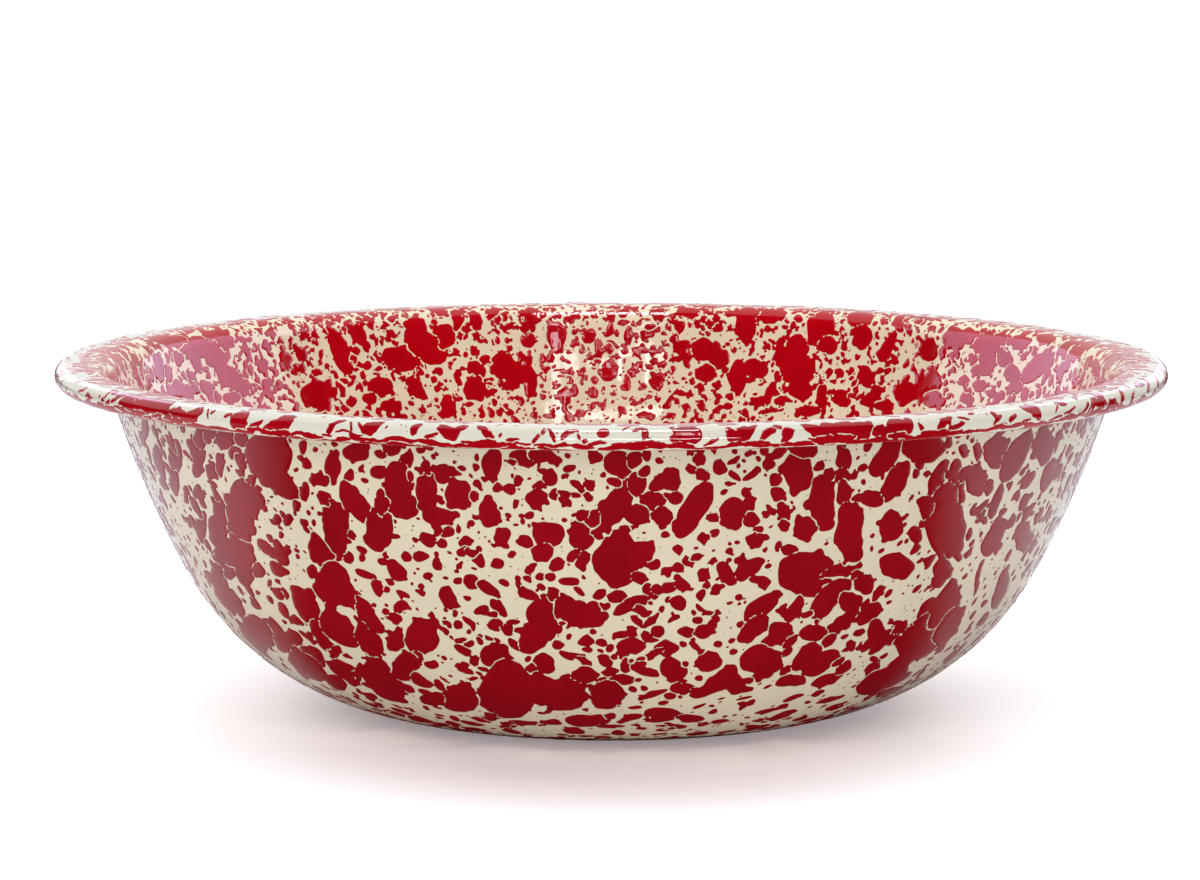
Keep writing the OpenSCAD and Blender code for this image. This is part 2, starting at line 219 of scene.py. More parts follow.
# Streaks on the near part of the rolled edge, in the same terms
RIM_STREAKS = (
    (128, 402, 18, 22), (138, 405, 18, 22), (148, 407, 18, 22), (157, 410, 14, 20),
    (165, 415, 12, 12), (172, 417, 12, 12), (178, 418, 12, 12), (187, 419, 12, 13),
    (195, 414, 8, 18), (238, 418, 15, 20), (252, 427, 16, 8, 1), (226, 416, 9, 5, 1),
    (270, 427, 18, 8, 1), (274, 421, 12, 4, 1), (284, 421, 14, 24), (332, 427, 8, 18, 1),
    (340, 421, 10, 5, 1), (87, 395, 5, 5), (102, 400, 5, 8, 1), (109, 402, 9, 7, 1),
    (213, 412, 5, 4, 1), (208, 411, 3, 8, 1), (350, 428, 3, 13), (361, 427, 5, 12, -1),
    (371, 426, 13, 12, 1), (378, 422, 14, 5, 1), (387, 426, 4, 3, 1), (406, 427, 2, 7),
    (416, 428, 11, 9, 1), (432, 434, 14, 5, 1), (430, 438, 12, 3, 1), (447, 430, 14, 18, -1),
    (457, 430, 8, 17, 1), (462, 427, 7, 6, 1), (484, 428, 13, 9, -1), (488, 435, 12, 12, -1),
    (511, 441, 12, 5, 1), (502, 437, 4, 5, 1), (535, 439, 5, 9, 1), (541, 431, 4, 6, 1),
    (551, 434, 7, 14, -1), (547, 430, 3, 5, -1), (569, 433, 13, 7, 1), (566, 437, 8, 6, 1),
    (576, 437, 4, 7, -1), (584, 441, 7, 5), (603, 433, 9, 8), (626, 427, 8, 3, 1),
    (638, 429, 12, 5, 1), (646, 434, 7, 12), (652, 443, 14, 5), (687, 434, 27, 19),
    (673, 428, 12, 6, -1), (711, 442, 14, 5, 1), (730, 432, 9, 15), (738, 435, 13, 17, 1),
    (746, 436, 13, 17, 1), (751, 428, 12, 6, 1), (768, 433, 10, 13, 1), (764, 440, 8, 6, 1),
    (777, 426, 9, 5, -1), (788, 433, 13, 13), (784, 440, 9, 7, 1), (817, 434, 21, 18, -1),
    (833, 433, 20, 20), (850, 431, 20, 20), (864, 430, 14, 16), (884, 433, 22, 11),
    (898, 427, 16, 19), (908, 424, 8, 17), (925, 429, 7, 10, -1), (947, 421, 10, 12, 1),
    (942, 428, 10, 8, 1), (956, 427, 14, 7, 1), (963, 418, 10, 4, -1), (972, 413, 8, 4),
    (995, 415, 5, 9, -1), (997, 421, 6, 9, 1), (1012, 418, 6, 10, 1), (1003, 425, 10, 4, 1),
    (1030, 407, 16, 7, -1), (1037, 413, 9, 10, -1), (1023, 422, 20, 4, 1), (1057, 417, 13, 4, 1),
    (1068, 413, 8, 4, 1), (1095, 403, 4, 13), (1102, 403, 8, 12), (1097, 394, 12, 6, -1),
    (1108, 405, 5, 5), (1112, 406, 4, 4), (1124, 397, 2, 7, 1), (1081, 411, 4, 3, 1),
)

# Reflection of a window on the far side of the inside: middle, width and height of its parts,
# in pixels of the photograph
WINDOW_VEIL = ((606, 362, 128, 98),)
WINDOW_PANES = ((570, 362, 16, 20), (590, 362, 9, 8), (608, 363, 12, 6), (635, 330, 14, 7),
                (645, 345, 20, 5), (660, 357, 10, 14), (565, 393, 6, 8), (555, 326, 9, 14),
                (637, 366, 12, 10))
WINDOW_BARS = ((602, 314, 132, 2.0), (605, 409, 120, 2.2), (620, 368, 2.4, 32),
               (647, 368, 2.4, 30), (633, 353, 26, 2.4))

# Layers of that window: name, how far each stands back, its parts and its strength
WINDOW_LAYERS = (("window", 0.00, WINDOW_VEIL, 0.12),
                 ("window_panes", 0.01, WINDOW_PANES, 9.0),
                 ("window_bars", 0.02, WINDOW_BARS, 26.0))
WINDOW_PLACE = (0, -1.05, 0.86)
WINDOW_TARGET = (0, 0.15, 0.09)


class BowlSizes(PropertyGroup):
    """Sizes of the bowl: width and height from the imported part, the rest as in its source."""

    rim_width: FloatProperty(
        name="Rim width", description="Width over the rolled rim", unit="LENGTH",
        default=round(2 * max(cad_high.x, cad_high.y, -cad_low.x, -cad_low.y), 4))
    height: FloatProperty(
        name="Height", description="From the resting face to the top of the rim", unit="LENGTH",
        default=round(cad_high.z - cad_low.z, 4))
    base_width: FloatProperty(
        name="Base width", description="Width of the flat base", unit="LENGTH", default=0.120)
    belly_slope: FloatProperty(
        name="Belly slope", description="Slope of the wall where the belly ends", subtype="ANGLE",
        default=math.radians(62.1))
    side_radius: FloatProperty(
        name="Side radius", description="Radius of the long curve of the side", unit="LENGTH",
        default=0.316)
    bead_width: FloatProperty(
        name="Bead width", description="Thickness of the rolled edge", unit="LENGTH",
        default=0.0072)
    lip_radius: FloatProperty(
        name="Lip radius", description="Radius where the side turns out", unit="LENGTH",
        default=0.0085)
    flange_width: FloatProperty(
        name="Flange width", description="Width of the flat flange", unit="LENGTH", default=0.0069)
    wall: FloatProperty(
        name="Wall", description="Steel with all its coats", unit="LENGTH", default=0.0014)
    cover: FloatProperty(
        name="Cream coat", description="Thickness of one cream coat", unit="LENGTH",
        default=0.00018)
    glaze: FloatProperty(
        name="Glaze", description="Room left above the cream for the red glaze", unit="LENGTH",
        default=0.0002)
    relief: FloatProperty(
        name="Relief", description="Height of the fired red glaze above the cream",
        unit="LENGTH", default=0.00007)
    seam_gap: FloatProperty(
        name="Seam gap", description="Gap where the rolled edge comes back", unit="LENGTH",
        default=0.00035)


class BowlColours(PropertyGroup):
    """Colours of the enamels."""

    cream_outside: FloatVectorProperty(
        name="Cream outside", description="Cover coat of the outside", subtype="COLOR", size=3,
        min=0, max=1, default=(0.715, 0.640, 0.480))
    cream_inside: FloatVectorProperty(
        name="Cream inside", description="Cover coat of the inside", subtype="COLOR", size=3,
        min=0, max=1, default=(0.87, 0.76, 0.55))
    red_outside: FloatVectorProperty(
        name="Red outside", description="Glaze on the outside", subtype="COLOR", size=3,
        min=0, max=1, default=(0.270, 0.002, 0.008))
    red_inside: FloatVectorProperty(
        name="Red inside", description="Glaze on the inside", subtype="COLOR", size=3,
        min=0, max=1, default=(0.48, 0.001, 0.006))
    cream_rim: FloatVectorProperty(
        name="Cream rim", description="Cover coat where it lies over the rolled edge",
        subtype="COLOR", size=3, min=0, max=1, default=(0.71, 0.69, 0.575))
    red_rim: FloatVectorProperty(
        name="Red rim", description="Glaze on the rolled edge", subtype="COLOR", size=3,
        min=0, max=1, default=(0.36, 0.001, 0.006))
    red_edge: FloatVectorProperty(
        name="Red edge", description="Thin glaze at the edge of a splash", subtype="COLOR", size=3,
        min=0, max=1, default=(0.50, 0.05, 0.015))


class BowlSplatter(PropertyGroup):
    """How the splatter glaze is thrown."""

    seed: IntProperty(name="Seed", description="Start of the chance numbers", default=29)
    step: FloatProperty(
        name="Step", description="Step of the map that the splashes are drawn on", unit="LENGTH",
        default=0.00055)
    gap: FloatProperty(
        name="Hairline gap", description="Cream line left between touching splashes",
        unit="LENGTH", default=0.00026)
    edge: FloatProperty(
        name="Edge width", description="Width of the rounded edge of a splash", unit="LENGTH",
        default=0.00045)
    growth: FloatProperty(
        name="Growth", description="How far the outside splashes flow beyond what was read",
        default=1.13)
    closeness: FloatProperty(
        name="Closeness", description="How close outside splashes lie when they run together",
        default=0.76)


# Section of the bowl

QUARTER = math.pi / 2
TURN = 2 * math.pi
TINY = 1e-9

# Points along the floor, belly, side, lip and rolled edge, and how much finer the map takes them
RUN_POINTS = (8, 34, 24, 14, 40)
MAP_FINENESS = 24
SAME_PLACE = 1e-7
STRAIGHT_UP = 0.999


def arc_points(centre, radius, from_a, to_a, count):
    """Points of an arc and the directions from its centre."""
    way = directions(np.linspace(from_a, to_a, count))
    return np.array(centre) + radius * way, way


def directions(angles):
    """Flat directions of many angles."""
    return np.stack([np.cos(angles), np.sin(angles)], 1)


def heading(angle):
    """Flat direction of one angle."""
    return np.array([math.cos(angle), math.sin(angle)])


def off_axis(turn, ahead):
    """Angle between a direction and the one straight ahead."""
    return abs((turn - ahead + math.pi) % TURN - math.pi)


class Section:
    """Section of the bowl, with the same arcs as the part's source, in metres."""

    def __init__(self, sizes):
        s = sizes
        self.wall = s.wall
        self.side_r = s.side_radius
        self.belly_slope = s.belly_slope
        self.base_r = s.base_width / 2
        self.bead_r = s.bead_width / 2
        self.bead_hollow_r = self.bead_r - s.glaze - s.wall
        self.bead = (s.rim_width / 2 - self.bead_r, s.height - self.bead_r)
        self.lip = (self.bead[0] - s.flange_width, s.height - s.lip_radius)
        self.lip_under_r = s.lip_radius - s.glaze - s.wall
        out, up = math.sin(s.belly_slope), math.cos(s.belly_slope)
        reach_x = self.base_r - s.side_radius * out - self.lip[0]
        reach_z = s.side_radius * up - self.lip[1]
        root_a = out**2 + (1 - up) ** 2
        root_b = reach_x * out + reach_z * (1 - up)
        root_c = reach_x**2 + reach_z**2 - (s.side_radius + self.lip_under_r) ** 2
        self.belly_r = (-root_b - math.sqrt(root_b**2 - root_a * root_c)) / root_a
        spare = s.side_radius - self.belly_r
        self.side = (self.base_r - spare * out, self.belly_r + spare * up)
        self.lip_slope = QUARTER + math.atan2(self.lip[1] - self.side[1],
                                              self.lip[0] - self.side[0])
        self.side_end = self.side[0] + (s.side_radius - s.lip_radius) * math.sin(self.lip_slope)
        self.seam_turn = math.asin((self.bead_hollow_r - s.seam_gap) / (self.bead_r - s.glaze))

    def face(self, inside, fine=1):
        """Points and outward directions of one face of the bowl, from the axis to the seam."""
        depth = self.wall if inside else 0.0
        facing = -1 if inside else 1
        count = [fine * n for n in RUN_POINTS]
        points = [np.stack([np.linspace(0, self.base_r, count[0]), np.full(count[0], depth)], 1)]
        ways = [np.tile([0.0, -float(facing)], (count[0], 1))]
        arcs = (
            ((self.base_r, self.belly_r), self.belly_r - depth, -QUARTER,
             self.belly_slope - QUARTER, facing),
            (self.side, self.side_r - depth, self.belly_slope - QUARTER,
             self.lip_slope - QUARTER, facing),
            (self.lip, self.lip_under_r + depth, QUARTER + self.lip_slope, QUARTER, -facing),
            (self.bead, self.bead_hollow_r + depth, QUARTER, -math.pi - self.seam_turn, -facing),
        )
        for (centre, radius, from_a, to_a, turned), n in zip(arcs, count[1:]):
            at, way = arc_points(centre, radius, from_a, to_a, n)
            first = 1 if np.allclose(at[0], points[-1][-1], atol=SAME_PLACE) else 0
            points.append(at[first:])
            ways.append(turned * way[first:])
        return np.concatenate(points), np.concatenate(ways)


class GlazeMap:
    """Flat map of one face of the bowl that keeps angles, so that a round drop stays round.

    A ring of the map is its distance from the middle. The floor keeps its size, and the wall
    grows with its radius. bead_row is the row at the top of the rolled edge."""

    def __init__(self, section, inside):
        self.at, self.way = section.face(inside, MAP_FINENESS)
        r, z = self.at.T
        rows = np.arange(len(r))
        step = np.linalg.norm(np.diff(self.at, axis=0), axis=1)
        middle_r = (r[1:] + r[:-1]) / 2
        grow = np.where(middle_r > section.base_r, step / np.maximum(middle_r, TINY), 0)
        self.run = np.concatenate([[0], np.cumsum(step)])
        self.ring = section.base_r * np.exp(np.concatenate([[0], np.cumsum(grow)]))
        on_floor = r <= section.base_r
        self.ring[on_floor] = r[on_floor]
        self.wall_rows = rows[(rows >= on_floor.sum() - 1) & (rows <= np.argmax(z))]
        aside = np.abs(self.way[:, 1]) < STRAIGHT_UP
        self.bead_row = int(np.argmin(np.where(aside, math.inf, np.abs(r - section.bead[0]))))
        on_lip = (z > section.lip[1]) & (r > section.side_end)
        self.lip_ring = float(self.ring[self.wall_rows[on_lip[self.wall_rows]][0]])

    def lift(self, flat, height):
        """Points on the bowl, at a height above its face, for points of the map."""
        ring = np.hypot(flat[:, 0], flat[:, 1])
        safe = np.maximum(ring, TINY)
        r, z = (np.interp(ring, self.ring, at) + np.interp(ring, self.ring, way) * height
                for at, way in zip(self.at.T, self.way.T))
        return np.stack([r * flat[:, 0] / safe, r * flat[:, 1] / safe, z], 1)

    def scale(self, ring):
        """How much larger the map is than the bowl at a ring."""
        r = float(np.interp(ring, self.ring, self.at[:, 0]))
        return ring / max(r, TINY) if r > 0 else 1.0

    def bead_ring(self, angle):
        """Ring of the map at an angle round the rolled edge, from its outermost line."""
        rows = np.arange(self.bead_row, len(self.at))
        bead_angle = np.unwrap(np.arctan2(self.way[rows, 1], self.way[rows, 0]))
        return np.interp(np.minimum(angle, QUARTER), bead_angle[::-1], self.ring[rows][::-1])

    def flatten(self, points):
        """Points of the map for points on the wall."""
        rows = self.wall_rows
        ring = np.interp(points[:, 2], self.at[rows, 1], self.ring[rows])
        return ring[:, None] * directions(np.arctan2(points[:, 1], points[:, 0]))


# Camera of the photograph: its distance from the middle of the rim, its angle above the level
# of the rim, and where its rays are followed: from, to and step
CAMERA_AWAY = 1.683
CAMERA_RISE = 0.1139
WALL_REACH = (1.42, 1.90, 0.0005)
EDGE_REACH = (1.45, 1.72, 0.00015)


class PhotoView:
    """The photograph's camera: where it stands, where it looks, and its rays."""

    def __init__(self, sizes):
        self.place = np.array([0.0, -CAMERA_AWAY * math.cos(CAMERA_RISE),
                               sizes.height + CAMERA_AWAY * math.sin(CAMERA_RISE)])
        yaw = math.atan((RIM_CENTRE_PX[0] - PHOTO_W / 2) / FOCAL_PX)
        pitch = CAMERA_RISE + math.atan((PHOTO_H / 2 - RIM_CENTRE_PX[1]) / FOCAL_PX)
        self.turn = Matrix.Rotation(yaw, 3, "Z") @ Matrix.Rotation(QUARTER - pitch, 3, "X")

    def rays(self, across, down):
        """Directions of the rays through pixels of the photograph."""
        local = np.stack([(across - PHOTO_W / 2) / FOCAL_PX, (PHOTO_H / 2 - down) / FOCAL_PX,
                          -np.ones(len(across))], 1)
        world = local @ np.array(self.turn).T
        return world / np.linalg.norm(world, axis=1)[:, None]

    def along(self, across, down, reach):
        """Places along those rays."""
        return self.place + self.rays(across, down)[:, None] * np.arange(*reach)[:, None]

    def hits(self, glaze_map, across, down, inside):
        """Where those rays meet a face of the bowl, with nan where they miss it."""
        at = self.along(across, down, WALL_REACH)
        wall = glaze_map.at[glaze_map.wall_rows]
        z = at[..., 2]
        within = ((np.hypot(at[..., 0], at[..., 1]) < np.interp(z, wall[:, 1], wall[:, 0]))
                  & (z > wall[0, 1]) & (z < wall[-1, 1]))
        first = np.argmax(within, axis=1)
        last = within.shape[1] - 1 - np.argmax(within[:, ::-1], axis=1)
        point = at[np.arange(len(at)), last if inside else first]
        point[~within.any(1)] = np.nan
        return point

    def edge_hits(self, section, glaze_map, across, down):
        """Places on the map where those rays first meet the rolled edge."""
        at = self.along(across, down, EDGE_REACH)
        out = np.hypot(at[..., 0], at[..., 1]) - section.bead[0]
        up = at[..., 2] - section.bead[1]
        within = out * out + up * up < section.bead_r**2
        pick = np.arange(len(at)), np.argmax(within, axis=1)
        ring = glaze_map.bead_ring(np.arctan2(up[pick], out[pick]))
        at = at[pick]
        place = ring[:, None] * directions(np.arctan2(at[:, 1], at[:, 0]))
        place[~within.any(1)] = np.nan
        return place


# Splashes of glaze

# A leaning splash as shares of what was read: half its length by its diagonal, and its width
LEAN_LENGTH_SHARE = 0.47
LEAN_WIDTH_SHARE = 0.72
LEAST_AREA = 1e-9

# Lobes of a read splash: the size from which it has them, and how many
LOBED_FROM = 2.2 * MM
LOBES = (2, 5)

# Waves in the outline of the splashes: how many, how long and how strong
WAVES = 14
LONG_WAVES = (9 * MM, 26 * MM)
SHORT_WAVES = (3 * MM, 7 * MM)
LONG_STRENGTH = 0.5 * MM

# Depth of a bare field, how softly splashes of one group blend, and how far one is drawn
BARE_DEPTH = -20 * MM
BLEND = 0.5 * MM
DRAWN_SHARE = 1.25
DRAWN_BEYOND = 4 * MM


def photo_splashes(on_map, rows, grow):
    """Middles and half axes on the map of splashes that were read from the photograph.

    on_map finds the places of the map for pixels, and grow enlarges what was read."""
    x, y, w, h, lean = np.array([(*row, 0)[:5] for row in rows], float).T
    w, h = w * grow, h * grow
    tilt = np.arctan2(h, w)
    length = LEAN_LENGTH_SHARE * np.hypot(w, h)
    width = 0.5 * np.minimum(w, h) * LEAN_WIDTH_SHARE
    upright = lean == 0
    axis_ends = (
        (np.where(upright, w / 2, length * np.cos(tilt)),
         np.where(upright, 0, -lean * length * np.sin(tilt))),
        (np.where(upright, 0, width * np.sin(tilt) * lean),
         np.where(upright, h / 2, width * np.cos(tilt))))
    middle = on_map(x, y)
    ends = []
    for ax, ay in axis_ends:
        plus = on_map(x + ax, y + ay) - middle
        minus = middle - on_map(x - ax, y - ay)
        both = np.where(np.isnan(plus), minus, (plus + minus) / 2)
        ends.append(np.where(np.isnan(minus), plus, both))
    axes = np.stack(ends, 2)
    good = ~np.isnan(middle).any(1) & ~np.isnan(axes).any((1, 2))
    good &= np.abs(np.linalg.det(np.nan_to_num(axes))) > LEAST_AREA
    return middle[good], axes[good]


def grouped(middle, size, closeness):
    """Group numbers: splashes whose middles lie close, for their sizes, run together."""
    parent = list(range(len(middle)))

    def root(i):
        while parent[i] != i:
            i = parent[i]
        return i

    for i in range(len(middle)):
        apart = np.linalg.norm(middle - middle[i], axis=1)
        for j in np.flatnonzero(apart < closeness * (size + size[i])):
            parent[root(int(j))] = root(i)
    return [root(i) for i in range(len(middle))]


def oval(length, width, turn):
    """Half axes of an oval as a matrix."""
    c, s = math.cos(turn), math.sin(turn)
    return np.array([[length * c, -width * s], [length * s, width * c]])


class Waves:
    """Smooth chance field: a sum of plane waves."""

    def __init__(self, chance, shortest, longest):
        length = chance.uniform(shortest, longest, WAVES)
        self.k = directions(chance.uniform(0, TURN, WAVES)) * (TURN / length)[:, None]
        self.phase = chance.uniform(0, TURN, WAVES)

    def __call__(self, x, y):
        total = np.zeros_like(x)
        for k, phase in zip(self.k, self.phase):
            total += np.sin(k[0] * x + k[1] * y + phase)
        return total * math.sqrt(2 / WAVES)


class GlazeField:
    """Depth inside the splashes on a square grid of the map: positive on glaze.

    owner holds the group of the splash nearest to each point: splashes of one group flow
    together, and those of different groups keep a hairline apart."""

    def __init__(self, glaze_map, reach, splatter, seed, ragged):
        self.map = glaze_map
        self.chance = chance = np.random.default_rng(seed)
        self.groups = 0
        self.step = splatter.step
        self.gap = splatter.gap
        self.start = -reach - self.step
        count = int(math.ceil(2 * (reach + self.step) / self.step)) + 1
        self.line = self.start + self.step * np.arange(count)
        gx, gy = np.meshgrid(self.line, self.line)
        self.x, self.y = (
            side + LONG_STRENGTH * Waves(chance, *LONG_WAVES)(gx, gy)
            + ragged * Waves(chance, *SHORT_WAVES)(gx, gy) for side in (gx, gy))
        self.ring = np.hypot(gx, gy)
        self.depth = np.full(gx.shape, BARE_DEPTH)
        self.owner = np.zeros(gx.shape, int)

    def new_group(self):
        self.groups += 1
        return self.groups

    def cell(self, middle):
        """Row and column of the grid at a point of the map, held to the grid."""
        last = len(self.line) - 1
        return tuple(min(max(int(round((middle[k] - self.start) / self.step)), 0), last)
                     for k in (1, 0))

    def spot(self, low, high, most=TURN):
        """A chance place between two rings: its ring, its angle and its point of the map."""
        ring = math.sqrt(self.chance.uniform(low**2, high**2))
        turn = self.chance.uniform(0, most)
        return ring, turn, ring * heading(turn)

    def size(self, ring, least, spread, power):
        """A chance size on the map, most often near the least, given in millimetres."""
        return self.map.scale(ring) * MM * (least + spread * self.chance.uniform() ** power)

    def throw(self, middle, axes, group):
        """Adds one splash."""
        reach = np.abs(axes).sum(1) * DRAWN_SHARE + DRAWN_BEYOND
        j0, j1 = np.searchsorted(self.line, [middle[0] - reach[0], middle[0] + reach[0]])
        i0, i1 = np.searchsorted(self.line, [middle[1] - reach[1], middle[1] + reach[1]])
        if i1 - i0 < 2 or j1 - j0 < 2:
            return
        there = (slice(i0, i1), slice(j0, j1))
        dx = self.x[there] - middle[0]
        dy = self.y[there] - middle[1]
        inverse = np.linalg.inv(axes)
        qx = inverse[0, 0] * dx + inverse[0, 1] * dy
        qy = inverse[1, 0] * dx + inverse[1, 1] * dy
        q = np.sqrt(qx * qx + qy * qy) + TINY
        slope = np.hypot(inverse[0, 0] * qx + inverse[1, 0] * qy,
                         inverse[0, 1] * qx + inverse[1, 1] * qy) / q + TINY
        depth = np.minimum((1 - q) / slope, math.sqrt(abs(np.linalg.det(axes))))
        before = self.depth[there]
        same = self.owner[there] == group
        ease = np.maximum(BLEND - np.abs(before - depth), 0)
        joined = np.maximum(before, depth) + ease * ease / (4 * BLEND)
        pushed = np.minimum(before, -depth - self.gap)
        self.owner[there] = np.where(depth > pushed, group, self.owner[there])
        self.depth[there] = np.where(same, joined, np.maximum(depth, pushed))

    def cluster(self, middle, size, join, loose):
        """A splash with lobes: join is its chance to flow into the next, loose theirs not to."""
        chance = self.chance
        group = self.new_group()
        if chance.uniform() < join:
            group = self.owner[self.cell(middle)]
        turn = chance.uniform(0, math.pi)
        self.throw(middle, oval(size, size * chance.uniform(0.62, 0.95), turn), group)
        for _ in range(chance.integers(0, 5)):
            way = chance.uniform(0, TURN)
            at = middle + size * chance.uniform(0.6, 1.0) * heading(way)
            r = size * chance.uniform(0.3, 0.62)
            lobe_group = group if chance.uniform() > loose else self.new_group()
            self.throw(at, oval(r, r * chance.uniform(0.7, 1), chance.uniform(0, math.pi)),
                       lobe_group)

    def dots(self, count, low, high, least, most, clear=0.28 * MM):
        """Small round drops on bare cream, clear of other glaze, in sizes most often small."""
        for _ in range(count):
            ring, _, middle = self.spot(low, high)
            r = self.map.scale(ring) * (least + (most - least) * self.chance.uniform() ** 1.7)
            if self.depth[self.cell(middle)] < -(r + clear):
                shape = oval(r, r * self.chance.uniform(0.75, 1), self.chance.uniform(0, math.pi))
                self.throw(middle, shape, self.new_group())

    def read_splashes(self, on_map, rows, grow, closeness):
        """Throws the splashes that were read from the photograph."""
        chance = self.chance
        middles, shapes = photo_splashes(on_map, rows, grow)
        sizes = np.sqrt(np.abs(np.linalg.det(shapes)))
        base = self.groups + 1
        self.groups += len(middles) + 1
        groups = grouped(middles, sizes, closeness)
        for middle, axes, size, group in zip(middles, shapes, sizes, groups):
            self.throw(middle, axes, base + group)
            for _ in range(int(chance.integers(*LOBES)) if size > LOBED_FROM else 0):
                way = chance.uniform(0, TURN)
                at = axes @ heading(way) * chance.uniform(0.7, 0.95)
                r = size * chance.uniform(0.22, 0.42)
                self.throw(middle + at, oval(r, r * chance.uniform(0.7, 1), way), base + group)


# Outlines of the splashes

# Cells of a marching squares contour: pairs of sides of the cell for each pattern of corners
BOTTOM, RIGHT, TOP, LEFT = range(4)
CELL_LINES = {
    1: ((LEFT, BOTTOM),), 2: ((BOTTOM, RIGHT),), 3: ((LEFT, RIGHT),), 4: ((RIGHT, TOP),),
    5: ((LEFT, BOTTOM), (RIGHT, TOP)), 6: ((BOTTOM, TOP),), 7: ((LEFT, TOP),), 8: ((TOP, LEFT),),
    9: ((TOP, BOTTOM),), 10: ((BOTTOM, RIGHT), (TOP, LEFT)), 11: ((TOP, RIGHT),),
    12: ((RIGHT, LEFT),), 13: ((RIGHT, BOTTOM),), 14: ((BOTTOM, LEFT),),
}

# Share of a step of the grid that the contour keeps clear of its points
CLEAR_SHARE = 0.02

# Points inside the glaze: their spacing on the wall and over the lip and rolled edge, and how
# far they keep from the outline, in widths of the rounded edge
WALL_SPACING = 2.4 * MM
EDGE_SPACING = 0.9 * MM
WALL_CLEAR = 2.2
EDGE_CLEAR = 1.6

# Middles of small drops: their least depth, and their most in widths of the rounded edge
PEAK_DEPTH = 0.12 * MM
PEAK_SHARE = 1.3

# The outline of a sheet sinks into the cream except where the sheet is cut from another one:
# how near the edge that is, in its widths, and how deep the outline and the back lie
NATURAL_SHARE = 0.4
OUTLINE_SUNK = -0.03 * MM
BACK_SUNK = -0.06 * MM


def contour(line, values):
    """Points and edges of the zero contour of values on a square grid."""
    step = line[1] - line[0]
    clear = CLEAR_SHARE * step
    v = np.where(np.abs(values) < clear, np.where(values < 0, -clear, clear), values)
    on = v > 0
    across_id = np.full(on[:, 1:].shape, -1)
    up_id = np.full(on[1:, :].shape, -1)
    ai, aj = np.nonzero(on[:, 1:] != on[:, :-1])
    ui, uj = np.nonzero(on[1:, :] != on[:-1, :])
    across_id[ai, aj] = np.arange(len(ai))
    up_id[ui, uj] = len(ai) + np.arange(len(ui))
    share = v[ai, aj] / (v[ai, aj] - v[ai, aj + 1])
    across_at = np.stack([line[aj] + step * share, line[ai]], 1)
    share = v[ui, uj] / (v[ui, uj] - v[ui + 1, uj])
    up_at = np.stack([line[uj], line[ui] + step * share], 1)
    pattern = on[:-1, :-1] * 1 + on[:-1, 1:] * 2 + on[1:, 1:] * 4 + on[1:, :-1] * 8
    sides = (across_id[:-1, :], up_id[:, 1:], across_id[1:, :], up_id[:, :-1])
    edges = []
    for corners, lines in CELL_LINES.items():
        cell = np.nonzero(pattern == corners)
        edges += [np.stack([sides[a][cell], sides[b][cell]], 1) for a, b in lines]
    return np.concatenate([across_at, up_at]), np.concatenate(edges)


def sample(line, values, points):
    """Value of the grid at points, by straight interpolation."""
    f = (points - line[0]) / (line[1] - line[0])
    i = np.clip(f.astype(int), 0, len(line) - 2)
    (x0, y0), (tx, ty) = i.T, (f - i).T
    low = values[y0, x0] * (1 - tx) + values[y0, x0 + 1] * tx
    high = values[y0 + 1, x0] * (1 - tx) + values[y0 + 1, x0 + 1] * tx
    return low * (1 - ty) + high * ty


def fill(points, edges, line, depth):
    """Triangles between the points that lie on glaze, with the contour's edges kept.

    Gives the flat points, the triangles, and which of the points each one was, or -1."""
    unit = 1 / MM
    corners = [Vector(p) for p in (points * unit).tolist()]
    made = delaunay_2d_cdt(corners, edges.tolist(), [], 0, SAME_PLACE, True)
    flat = np.array([tuple(v) for v in made[0]], float) / unit
    faces = np.array([f for f in made[2] if len(f) == 3], int)
    faces = faces[sample(line, depth, flat[faces].mean(1)) > 0]
    return flat, faces, np.array([o[0] if o else -1 for o in made[3]], int)


def inner_points(line, shape, spacing, clear, low_ring, high_ring):
    """Points inside the glaze, on a square grid, between two rings of the map."""
    every = max(1, int(round(spacing / (line[1] - line[0]))))
    i, j = np.nonzero(shape[::every, ::every] > clear)
    points = np.stack([line[j * every], line[i * every]], 1)
    ring = np.hypot(points[:, 0], points[:, 1])
    return points[(ring >= low_ring) & (ring < high_ring)]


def drop_middles(line, shape, edge_width):
    """Points of the grid at the middles of drops too small for inner points."""
    centre = shape[1:-1, 1:-1]
    rows, columns = centre.shape
    peak = (centre > PEAK_DEPTH) & (centre < PEAK_SHARE * edge_width)
    for i in range(3):
        for j in range(3):
            peak &= centre >= shape[i:i + rows, j:j + columns]
    i, j = np.nonzero(peak)
    return np.stack([line[j + 1], line[i + 1]], 1)


